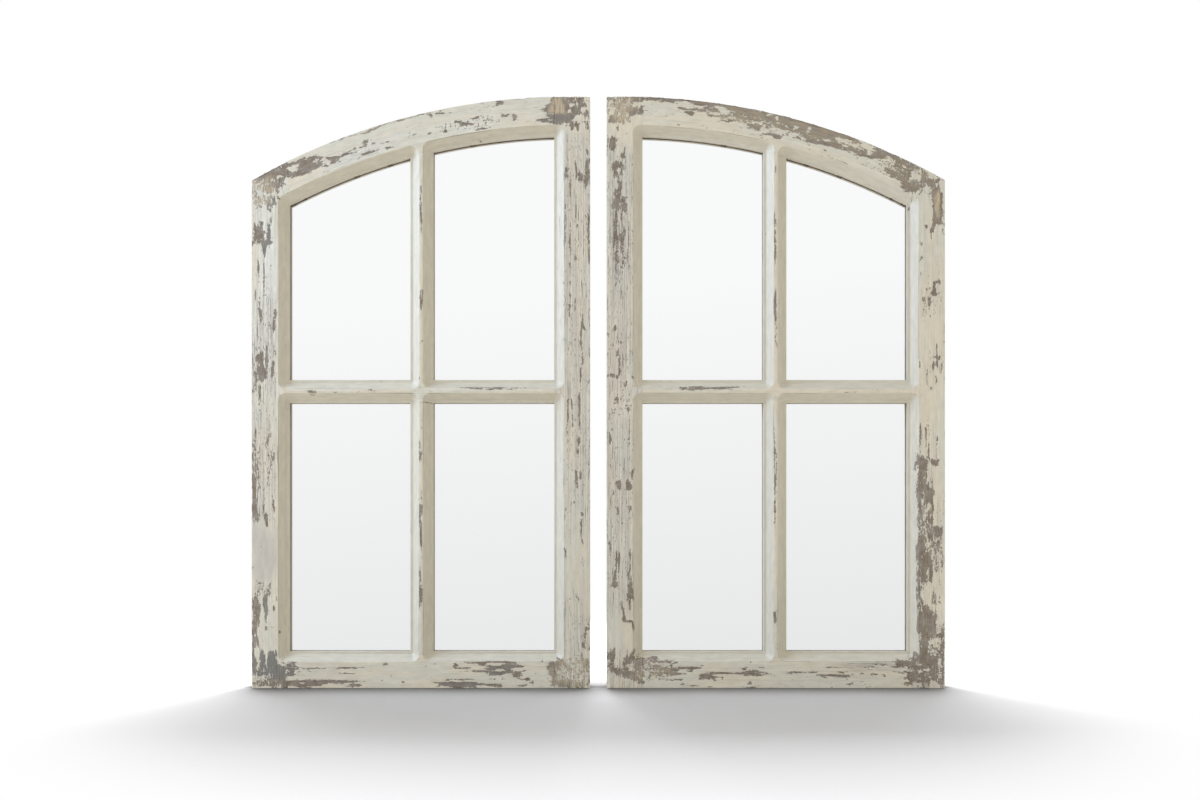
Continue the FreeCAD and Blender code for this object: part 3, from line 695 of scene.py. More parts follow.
class Hand(Enum):
    """Which leaf of the pair, with the side of the middle that it stands on."""

    LEFT = -1
    RIGHT = 1

    @property
    def word(self) -> str:
        """The leaf's name, as its pieces' names begin."""
        return self.name.lower()

    @property
    def body(self) -> str:
        """The body that the leaf's fixed pieces ride on."""
        return f"{self.word}_leaf"


class GrainRun(Enum):
    """How the grain of a member runs."""

    UPRIGHT = "up the leaf"
    LEVEL = "across the leaf"
    ARCHED = "round the arch"


@dataclass(frozen=True)
class SashPlan:
    """Places that the pieces of a leaf share, in metres, for the right leaf."""

    front: float
    back: float
    glass: float
    meeting: float
    outer: float
    top: float
    moulding_depth: float = 12 * MM
    moulding_width: float = 12.8 * MM
    stile_width: float = 65 * MM
    arch_radius: float = 1169 * MM
    crown_inset: float = 36 * MM

    @classmethod
    def read(cls) -> "SashPlan":
        """Read the plan from the right leaf's construction nodes."""
        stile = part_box("right_outer_stile")
        return cls(front=stile[0].y, back=stile[1].y, glass=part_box("right_lower_outer_mirror")[0].y,
                   meeting=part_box("right_meeting_stile")[0].x, outer=stile[1].x,
                   top=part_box("right_arched_head_rail")[1].z)

    @property
    def lip(self) -> float:
        """Depth at which the narrow lip round each pane faces forwards."""
        return self.front + self.moulding_depth

    @property
    def arch_centre(self) -> tuple[float, float]:
        """Centre of the arch, as (x, z)."""
        return self.meeting + self.crown_inset, self.top - self.arch_radius

    def arch_reach(self, x: np.ndarray, z: np.ndarray) -> np.ndarray:
        """Distance of each place from the arch's centre."""
        centre_x, centre_z = self.arch_centre
        return np.hypot(x - centre_x, z - centre_z)

    def arch_height(self, x: float, reach: float) -> float:
        """Height at which the circle of a reach round the arch's centre stands over a place."""
        centre_x, centre_z = self.arch_centre
        return centre_z + math.sqrt(reach ** 2 - (x - centre_x) ** 2)

    def arch_turn(self, x: np.ndarray, z: np.ndarray) -> np.ndarray:
        """Length of the outer arch from its crown to each place, outwards."""
        centre_x, centre_z = self.arch_centre
        return np.arctan2(x - centre_x, z - centre_z) * self.arch_radius


@dataclass(frozen=True)
class Worn:
    """A worn area of a leaf's face: its middle and size in millimetres, and what shows there.

    A peak above 0 bares the wood and one below -2 leaves an island of paint.  crumb leaves crumbs of paint,
    stain turns the wood tan, slate turns it blue-grey, pale whitens the paint or dulls it below 0, and reed
    is how strongly the grain shows through it.  On the left outer stile, pale also paints light above and
    shade below.
    """

    x: float
    z: float
    width: float
    height: float
    peak: float = 1.5
    tilt: float = 0.0
    crumb: float = 0.0
    stain: float = 0.0
    slate: float = 0.0
    pale: float | None = None
    reed: float | None = None
    hairline: float = 0.3  # added to each half size, so that the thinnest area still covers a cell

    def near(self, x: np.ndarray, z: np.ndarray) -> np.ndarray:
        """Numbers of the places that the area can touch."""
        span = 0.8 * math.hypot(self.width, self.height) + 1
        return np.flatnonzero((np.abs(x / MM - self.x) < span) & (np.abs(z / MM - self.z) < span))

    def cover(self, x: np.ndarray, z: np.ndarray) -> np.ndarray:
        """How much of this area each place has.

        Args:
            x: Place of each point across the leaf, in metres.
            z: Height of each point, in metres.

        Returns:
            From 0 outside the area's lobed outline to 1 in its middle.
        """
        turn = math.radians(self.tilt)
        right, up = x / MM - self.x, z / MM - self.z
        along = (right * math.cos(turn) + up * math.sin(turn)) / (self.width / 2 + self.hairline)
        over = (up * math.cos(turn) - right * math.sin(turn)) / (self.height / 2 + self.hairline)
        bearing, phase = np.arctan2(over, along), self.x + self.z
        lobes = 1 + 0.15 * np.sin(3 * bearing + phase) + 0.1 * np.sin(7 * bearing + 2.3 * phase)
        reach = (np.abs(along) ** 3 + np.abs(over) ** 3) ** (1 / 3) * lobes
        share = np.clip(1.5 - reach, 0, 1)
        return share * share * (3 - 2 * share)


class Zone(Enum):
    """The finish that a face of a wooden member has."""

    PAINT = 0
    SIGHT_WALL = 1
    PINE = 2


@dataclass(frozen=True)
class Ageing:
    """How a sash wears all over, before the worn areas that are listed."""

    sound: float = -3.1  # wear of sound paint on a face
    moulding_sounder: float = 1.2  # how much less worn the moulding is
    edge_rub: float = 1.1  # how much more the outer edges are rubbed, dying away over rub_reach
    rub_reach: float = 3 * MM
    nick_reach: float = 1.2 * MM  # how near an outer edge it breaks away, at most by nick_depth
    nick_depth: float = 1.4 * MM
    nick_front: float = 3 * MM  # how far behind the face corners break away
    moulding_starts: float = 0.3 * MM  # how far behind the face the moulding starts, and its blend
    moulding_blend: float = 1.5 * MM
    moulding_inset: float = 5 * MM  # how far inside the outer edges it starts
    moulding_reed: float = 0.85  # how much less the grain shows through on the moulding
    # the sight wall's dark band is dark wood and painted shade of the gap; wider under rails, as painted
    # shade
    dark_under_rails: float = 2.4 * MM  # how far in front of the glass the sight wall is dark
    dark_elsewhere: float = 0.8 * MM


@dataclass
class WoodenMember:
    """One member of a sash: its construction shape with softened arrises, cut into cells and weathered."""

    name: str
    run: GrainRun
    reed: float = 0.0
    pale: float = 0.0
    ageing: Ageing = Ageing()
    arris: float = 0.9 * MM
    sharp_degrees: float = 20.0
    cell_along: float = 3.4 * MM
    cell_across: float = 1.9 * MM
    cell_through: float = 3.5 * MM
    arched_cells: float = 0.9

    def blank(self, plan: SashPlan, others: BVHTree) -> bmesh.types.BMesh:
        """Make the right leaf's member, with its open arrises rounded and its faces cut into cells.

        Args:
            plan: The leaf's places.
            others: The leaf's other members, which cover the edges that lie against them.

        Returns:
            The mesh, which the caller frees.
        """
        shape = joined(bpy.data.objects[f"right_{self.name}"])
        edges = [edge for edge in shape.edges if self.is_open_arris(edge, plan, others)]
        round_edges(shape, edges, self.arris)
        corners = np.array([vert.co for vert in shape.verts])
        low, high = corners.min(0), corners.max(0)
        longest_first = sorted((0, 1, 2), key=lambda side: low[side] - high[side])
        for axis in longest_first:
            step = self.cell_size(axis)
            direction = Vector([float(side == axis) for side in range(3)])
            for place in np.arange(low[axis] + step / 2, high[axis], step):
                everything = shape.verts[:] + shape.edges[:] + shape.faces[:]
                bmesh.ops.bisect_plane(shape, geom=everything, dist=0.02 * MM, plane_co=direction * place,
                                       plane_no=direction)
        return shape

    def cell_size(self, axis: int) -> float:
        """Size of the cells along an axis: long with the grain, narrow across it.

        Args:
            axis: 0 for X, 1 for Y or 2 for Z.

        Returns:
            The size, in metres.
        """
        if axis == 1:
            return self.cell_through
        if self.run is GrainRun.ARCHED:
            return (self.cell_along, self.cell_across)[axis // 2] * self.arched_cells
        return self.cell_along if (axis == 2) == (self.run is GrainRun.UPRIGHT) else self.cell_across

    def is_open_arris(self, edge: bmesh.types.BMEdge, plan: SashPlan, others: BVHTree) -> bool:
        """Whether an edge is sharp, turned outwards, in sight and clear of the other members.

        Args:
            edge: The edge.
            plan: The leaf's places.
            others: The leaf's other members.

        Returns:
            True where the edge gets rounded.
        """
        if len(edge.link_faces) != 2 or edge.calc_face_angle_signed() < math.radians(self.sharp_degrees):
            return False
        middle = (edge.verts[0].co + edge.verts[1].co) / 2
        margin = 0.5 * MM
        if plan.lip + margin < middle.y < plan.back - margin and not self.is_outer(edge, plan):
            return False
        outwards = (edge.link_faces[0].normal + edge.link_faces[1].normal).normalized()
        just_outside, clearance = middle + outwards * MM, 0.9 * MM
        return others.find_nearest(just_outside, clearance)[0] is None

    @staticmethod
    def is_outer(edge: bmesh.types.BMEdge, plan: SashPlan) -> bool:
        """Whether an edge is one of the leaf's outer corners, which run through its thickness.

        Args:
            edge: The edge.
            plan: The leaf's places.

        Returns:
            True where both its ends lie at a side of the leaf, and at its foot or its arch.
        """
        places = [(vert.co.x, vert.co.z) for vert in edge.verts]
        hair = 0.1 * MM
        sides = [min(x - plan.meeting, plan.outer - x) < hair for x, _ in places]
        ends = [z < hair or plan.arch_reach(x, z) > plan.arch_radius - hair for x, z in places]
        return all(sides) and all(ends)

    def place_along_grain(self, plan: SashPlan, corners: np.ndarray, shift: float) -> np.ndarray:
        """Place of each vertex along, across and through the member's grain.

        Args:
            plan: The leaf's places.
            corners: The vertices, in metres.
            shift: How far the figure is moved, so that no two members match.

        Returns:
            One row for each vertex, in metres.
        """
        x, y, z = corners.T
        if self.run is GrainRun.UPRIGHT:
            along, across = z, x
        elif self.run is GrainRun.LEVEL:
            along, across = x, z
        else:
            along, across = plan.arch_turn(np.abs(x), z), plan.arch_reach(np.abs(x), z)
        return np.column_stack((along + shift, across + shift / 3, y))

    def dress(self, hand: Hand, plan: SashPlan, shape: bmesh.types.BMesh, wear: tuple[Worn, ...],
              weathering: bpy.types.NodeTree, shift: float) -> bpy.types.Object:
        """Make one leaf's member from the right leaf's blank.

        Args:
            hand: Which leaf it is for.
            plan: The leaf's places.
            shape: The blank.
            wear: The leaf's worn areas.
            weathering: The tree that wears the surface and gives the finishes.
            shift: How far the grain is moved.

        Returns:
            The finished piece.
        """
        own = shape.copy()
        if hand is Hand.LEFT:
            for vert in own.verts:
                vert.co.x = -vert.co.x
            bmesh.ops.reverse_faces(own, faces=own.faces)
        mesh = to_mesh(own, self.name)
        item = new_object(f"{hand.word}_{self.name}_finished", mesh)
        self.mark(mesh, plan, wear, shift)
        settle(item, weathering, {"Paint thickness": PAINT.thickness * MM,
                                  "Corner wear": self.ageing.nick_depth})
        finish_smooth(item.data)
        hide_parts(f"{hand.word}_{self.name}")
        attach(item, hand.body)
        return item

    def mark(self, mesh: bpy.types.Mesh, plan: SashPlan, wear: tuple[Worn, ...], shift: float) -> None:
        """Store on a mesh what the finish and the weathering read.

        Args:
            mesh: The member's mesh.
            plan: The leaf's places.
            wear: The leaf's worn areas.
            shift: How far the grain is moved.
        """
        corners = np.zeros(len(mesh.vertices) * 3)
        mesh.vertices.foreach_get("co", corners)
        corners = corners.reshape(-1, 3)
        x, y, z = corners.T
        age = self.ageing
        outwards = np.abs(x)
        side = np.minimum.reduce([outwards - plan.meeting, plan.outer - outwards, z,
                                  plan.arch_radius - plan.arch_reach(outwards, z)])
        inwards = np.maximum(side, 0)
        behind = y - plan.front
        moulded = np.clip((behind - age.moulding_starts) / age.moulding_blend, 0, 1)
        moulded = moulded * (side > age.moulding_inset)
        level = age.sound - age.moulding_sounder * moulded + age.edge_rub * np.exp(-inwards / age.rub_reach)
        plain = {"crumb": 0.0, "stain": 0.0, "slate": 0.0, "pale": self.pale, "reed": self.reed}
        spots = {name: np.full(len(x), value) for name, value in plain.items()}
        for area in wear:
            near = area.near(x, z)
            if not len(near):
                continue
            cover = area.cover(x[near], z[near])
            level[near] += (area.peak - age.moulding_sounder * moulded[near] - level[near]) * cover
            for name, values in spots.items():
                wanted = getattr(area, name)
                if name not in ("pale", "reed"):
                    values[near] = np.maximum(values[near], wanted * cover)
                elif wanted is not None:
                    values[near] += (wanted - values[near]) * cover
        spots["reed"] *= 1 - age.moulding_reed * moulded
        hidden = (behind > plan.moulding_depth + 0.1 * MM) & (side > 1.5 * MM) | (y > plan.back - MM)
        values = {"wear": level, "moulded": moulded, "open": np.where(hidden, 0.0, 1.0),
                  "nick": np.exp(-inwards / age.nick_reach) * (behind < age.nick_front), **spots}
        for name, numbers in values.items():
            mesh.attributes.new(name, "FLOAT", "POINT").data.foreach_set("value", numbers.astype(np.float32))
        vectors = {"grain": self.place_along_grain(plan, corners, shift), "place": corners}
        for name, places in vectors.items():
            layer = mesh.attributes.new(name, "FLOAT_VECTOR", "POINT")
            layer.data.foreach_set("vector", places.astype(np.float32).ravel())
        self.mark_zones(mesh, plan)

    def mark_zones(self, mesh: bpy.types.Mesh, plan: SashPlan) -> None:
        """Store on each face which finish it has: paint, the dark sight wall (partly painted shade) or bare
        pine.

        Args:
            mesh: The member's mesh.
            plan: The leaf's places.
        """
        zones = np.full(len(mesh.polygons), Zone.PAINT.value, np.int32)
        for face in mesh.polygons:
            x, y, z = abs(face.center.x), face.center.y, face.center.z
            side = min(x - plan.meeting, plan.outer - x, z, plan.arch_radius - plan.arch_reach(x, z))
            # walls facing down get the wider dark band, which is painted shade
            under_rail = face.normal.z < -0.5
            band = self.ageing.dark_under_rails if under_rail else self.ageing.dark_elsewhere
            if y > plan.glass - 0.1 * MM and side > 0.5 * MM or y > plan.back - 0.2 * MM:
                zones[face.index] = Zone.PINE.value
            elif y > plan.glass - band and side > 0.5 * MM:
                zones[face.index] = Zone.SIGHT_WALL.value
        mesh.attributes.new("zone", "INT", "FACE").data.foreach_set("value", zones)


def weathering_tree(paint: ChalkPaint, finishes: Finishes) -> bpy.types.NodeTree:
    """Build the tree that sinks lost paint, rounds worn corners and gives each zone its finish.

    Args:
        paint: The paint, whose loss also shapes the surface.
        finishes: The materials.

    Returns:
        The geometry tree.
    """
    tree, start = new_tree("weathering", {"Paint thickness": "NodeSocketFloat",
                                          "Corner wear": "NodeSocketFloat"})
    grain, place, wear, crumb, exposed, nick = (
        add_node(tree, "GeometryNodeInputNamedAttribute", {"Name": name}, data_type=kind)
        for name, kind in (("grain", "FLOAT_VECTOR"), ("place", "FLOAT_VECTOR"), ("wear", "FLOAT"),
                           ("crumb", "FLOAT"), ("open", "FLOAT"), ("nick", "FLOAT")))
    loss = paint.loss(tree, grain, place, wear, crumb)
    bare = add_node(tree, "ShaderNodeMapRange", {"Value": loss, "From Min": -0.15, "From Max": 0.15},
                    interpolation_type="SMOOTHSTEP")
    sunk = add_node(tree, "ShaderNodeMath", {0: bare, 1: start.outputs["Paint thickness"]},
                    operation="MULTIPLY")
    broken = add_node(tree, "ShaderNodeMapRange", {"Value": loss, "From Min": 0.2, "From Max": 2.0,
                                                   "To Min": 0.0, "To Max": start.outputs["Corner wear"]})
    nicked = add_node(tree, "ShaderNodeMath", {0: broken, 1: nick, 2: sunk}, operation="MULTIPLY_ADD")
    depth = add_node(tree, "ShaderNodeMath", {0: nicked, 1: exposed}, operation="MULTIPLY")
    inwards = add_node(tree, "ShaderNodeMath", {0: depth, 1: -1.0}, operation="MULTIPLY")
    normal = add_node(tree, "GeometryNodeInputNormal")
    offset = add_node(tree, "ShaderNodeVectorMath", {0: normal, "Scale": inwards}, operation="SCALE")
    moved = add_node(tree, "GeometryNodeSetPosition", {"Geometry": start.outputs["Geometry"],
                                                       "Offset": offset})
    zone = add_node(tree, "GeometryNodeInputNamedAttribute", {"Name": "zone"}, data_type="INT")
    chosen = {
        kind: next(s for s in add_node(tree, "FunctionNodeCompare", {"A": zone, "B": kind.value},
                                       data_type="INT", operation="EQUAL").outputs if s.enabled)
        for kind in (Zone.SIGHT_WALL, Zone.PINE)}
    close_tree(tree, moved, {None: finishes.paint, chosen[Zone.SIGHT_WALL]: finishes.sight_wall,
                             chosen[Zone.PINE]: finishes.pine})
    return tree


# ---------------------------------------------------------------- mirrors, back and hangers

@dataclass
class MirrorPane:
    """A pane of silvered glass: the silver shows a little behind the edge, as it does through real glass."""

    name: str
    rims: tuple[float, float] = (5.1 * MM, 5.5 * MM)
    silver_depth: float = 2.67 * MM

    def build(self, hand: Hand, plan: SashPlan, finishes: Finishes) -> bpy.types.Object:
        """Make the pane for a leaf.

        Args:
            hand: Which leaf it is for.
            plan: The leaf's places.
            finishes: The materials.

        Returns:
            The finished piece.
        """
        node = f"{hand.word}_{self.name}_mirror"
        shape = joined(bpy.data.objects[node], flat_degrees=0.5)
        front = [face for face in shape.faces if face.normal.y < -0.9]
        # the front gets a flat rim under the rebate, then a step down to the silver
        places = np.array([vert.co for face in front for vert in face.verts])
        outwards = np.abs(places[:, 0])
        low, high = (outwards.min(), places[:, 2].min()), (outwards.max(), places[:, 2].max())
        bow = plan.arch_reach(outwards, places[:, 2]).max() if self.name.startswith("upper") else None
        for rim, sink in zip(self.rims, (0.0, self.silver_depth)):
            bmesh.ops.inset_region(shape, faces=front, thickness=0.0)
            for vert in {vert for face in front for vert in face.verts}:
                x = min(max(abs(vert.co.x), low[0] + rim), high[0] - rim)
                top = high[1] - rim if bow is None else plan.arch_height(x, bow - rim)
                vert.co = (x * hand.value, vert.co.y + sink, min(max(vert.co.z, low[1] + rim), top))
        for face in shape.faces:
            face.material_index = 1
        for face in front:
            face.material_index = 0
        bmesh.ops.remove_doubles(shape, verts=shape.verts, dist=0.02 * MM)
        mesh = to_mesh(shape, node)
        mesh.materials.append(finishes.mirror)
        mesh.materials.append(finishes.lacquer)
        item = new_object(f"{node}_finished", mesh)
        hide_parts(node)
        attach(item, hand.body)
        return item


@dataclass
class SoftenedPart:
    """A made part that keeps its construction shape, with its sharp edges eased."""

    name: str
    slot: str
    ease: float
    flat_face: float = 100 * MM * MM  # faces this large are shaded flat

    def build(self, hand: Hand, material: bpy.types.Material) -> bpy.types.Object:
        """Make the part for a leaf.

        Args:
            hand: Which leaf it is for.
            material: Its finish.

        Returns:
            The finished piece.
        """
        node = f"{hand.word}_{self.name}"
        shape = joined(bpy.data.objects[node])
        round_edges(shape, sharp_edges(shape, 40), self.ease)
        mesh = to_mesh(shape, node)
        mesh.materials.append(material)
        finish_smooth(mesh, 40)
        for face in mesh.polygons:
            face.use_smooth = face.area < self.flat_face
        item = new_object(f"{node}_finished", mesh)
        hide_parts(node)
        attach(item, hand.body)
        return item


def solids_of(shape: bmesh.types.BMesh) -> list[list[bmesh.types.BMVert]]:
    """List the separate solids of a mesh, in the order of their first vertices.

    Args:
        shape: The mesh.

    Returns:
        The vertices of each solid.
    """
    seen, found = set(), []
    for first in shape.verts:
        if first in seen:
            continue
        seen.add(first)
        solid = [first]
        for vert in solid:  # grows as it is walked
            for edge in vert.link_edges:
                other = edge.other_vert(vert)
                if other not in seen:
                    seen.add(other)
                    solid.append(other)
        found.append(solid)
    return found


def middle_of(solid: list[bmesh.types.BMVert]) -> Vector:
    """Middle of a solid across the leaf, at the depth of its front."""
    places = np.array([vert.co for vert in solid])
    low, high = places.min(0), places.max(0)
    return Vector(((low[0] + high[0]) / 2, low[1], (low[2] + high[2]) / 2))


def spread_tree(name: str, material: bpy.types.Material) -> bpy.types.NodeTree:
    """Build a tree that sets a copy of a master at each point of a mesh, turned at random about its axis.

    Args:
        name: The tree's name.
        material: The finish of the copies.

    Returns:
        The geometry tree.
    """
    tree, start = new_tree(name, {"Master": "NodeSocketObject", "Seed": "NodeSocketInt"})
    master = add_node(tree, "GeometryNodeObjectInfo", {"Object": start.outputs["Master"]})
    turn = add_node(tree, "FunctionNodeRandomValue", {"Min": 0.0, "Max": math.tau,
                                                      "Seed": start.outputs["Seed"]}, data_type="FLOAT")
    rotation = add_node(tree, "ShaderNodeCombineXYZ", {"Y": turn})
    copies = add_node(tree, "GeometryNodeInstanceOnPoints", {
        "Points": start.outputs["Geometry"], "Instance": master.outputs["Geometry"], "Rotation": rotation})
    close_tree(tree, copies, {None: material})
    return tree


@dataclass
class RepeatedPart:
    """A set of like parts in one node, such as screws, each a copy of one master."""

    name: str
    slot: str
    ease: float
    seed: int

    def build(self, hand: Hand, tree: bpy.types.NodeTree) -> bpy.types.Object:
        """Make the set for a leaf.

        Args:
            hand: Which leaf it is for.
            tree: The tree that places the copies.

        Returns:
            The finished piece.
        """
        node = f"{hand.word}_{self.name}"
        shape = joined(bpy.data.objects[node])
        solids = solids_of(shape)
        places = [middle_of(solid) for solid in solids]
        spare = [vert for solid in solids[1:] for vert in solid]
        bmesh.ops.delete(shape, geom=spare, context="VERTS")
        bmesh.ops.translate(shape, vec=-places[0], verts=shape.verts)
        round_edges(shape, sharp_edges(shape, 35), self.ease)
        master_mesh = to_mesh(shape, f"{node}_master")
        finish_smooth(master_mesh, 40)
        master = new_object(f"{node}_master", master_mesh)
        points = bpy.data.meshes.new(node)
        points.from_pydata(places, [], [])
        item = new_object(f"{node}_finished", points)
        settle(item, tree, {"Master": master, "Seed": self.seed + hand.value})
        bpy.data.objects.remove(master)
        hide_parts(node)
        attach(item, hand.body)
        return item


def wire_tree(material: bpy.types.Material) -> bpy.types.NodeTree:
    """Build a tree that bends round wire along the edges of a mesh.

    Args:
        material: The wire's finish.

    Returns:
        The geometry tree.
    """
    tree, start = new_tree("bent_wire", {"Wire radius": "NodeSocketFloat"})
    path = add_node(tree, "GeometryNodeMeshToCurve", {"Mesh": start.outputs["Geometry"]})
    section = add_node(tree, "GeometryNodeCurvePrimitiveCircle", {
        "Resolution": 20, "Radius": start.outputs["Wire radius"]})
    wire = add_node(tree, "GeometryNodeCurveToMesh", {"Curve": path, "Profile Curve": section})
    close_tree(tree, wire, {None: material})
    return tree


@dataclass
class HangerRing:
    """A D-shaped ring of steel wire that swings in the eye of its strap."""

    name: str
    bend: float = 3 * MM
    steps: int = 8

    def path(self, low: Vector, high: Vector) -> list[tuple[float, float, float]]:
        """Centre line of the ring, clockwise from the first bend after the straight side.

        Args:
            low: Lowest corner of the ring's box.
            high: Highest corner of the ring's box.

        Returns:
            The points, in metres.
        """
        radius = (high.y - low.y) / 2
        middle, depth = (low.x + high.x) / 2, (low.y + high.y) / 2
        half = (high.x - low.x) / 2 - radius
        bar, bow = high.z - radius, low.z + radius + half
        points = []
        for centre_x, centre_z, turn_radius, start, turn, count in (
                (middle + half - self.bend, bar - self.bend, self.bend, 90, -90, self.steps),
                (middle, bow, half, 0, -180, 4 * self.steps),
                (middle - half + self.bend, bar - self.bend, self.bend, 180, -90, self.steps)):
            for step in range(count + 1):
                angle = math.radians(start + turn * step / count)
                points.append((centre_x + turn_radius * math.cos(angle), depth,
                               centre_z + turn_radius * math.sin(angle)))
        return points

    def build(self, hand: Hand, tree: bpy.types.NodeTree) -> bpy.types.Object:
        """Make the ring for a leaf.

        Args:
            hand: Which leaf it is for.
            tree: The tree that bends the wire.

        Returns:
            The finished piece.
        """
        node = f"{hand.word}_{self.name}_hanger_ring"
        low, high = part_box(node)
        points = self.path(low, high)
        edges = [(i, (i + 1) % len(points)) for i in range(len(points))]
        mesh = bpy.data.meshes.new(node)
        mesh.from_pydata(points, edges, [])
        item = new_object(f"{node}_finished", mesh)
        settle(item, tree, {"Wire radius": (high.y - low.y) / 2})
        finish_smooth(item.data, 60)
        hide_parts(node)
        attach(item, f"{hand.word}_{self.name}_ring")
        return item


# ---------------------------------------------------------------- the leaves

MEMBERS = (
    WoodenMember("outer_stile", GrainRun.UPRIGHT, reed=0.35),
    WoodenMember("meeting_stile", GrainRun.UPRIGHT, reed=0.8, pale=-0.1),
    WoodenMember("arched_head_rail", GrainRun.ARCHED, reed=0.2),
    WoodenMember("bottom_rail", GrainRun.LEVEL, reed=0.3),
    WoodenMember("cross_muntin", GrainRun.LEVEL, reed=0.15),
    WoodenMember("lower_muntin", GrainRun.UPRIGHT, reed=0.15),
    WoodenMember("upper_muntin", GrainRun.UPRIGHT, reed=0.15),
)

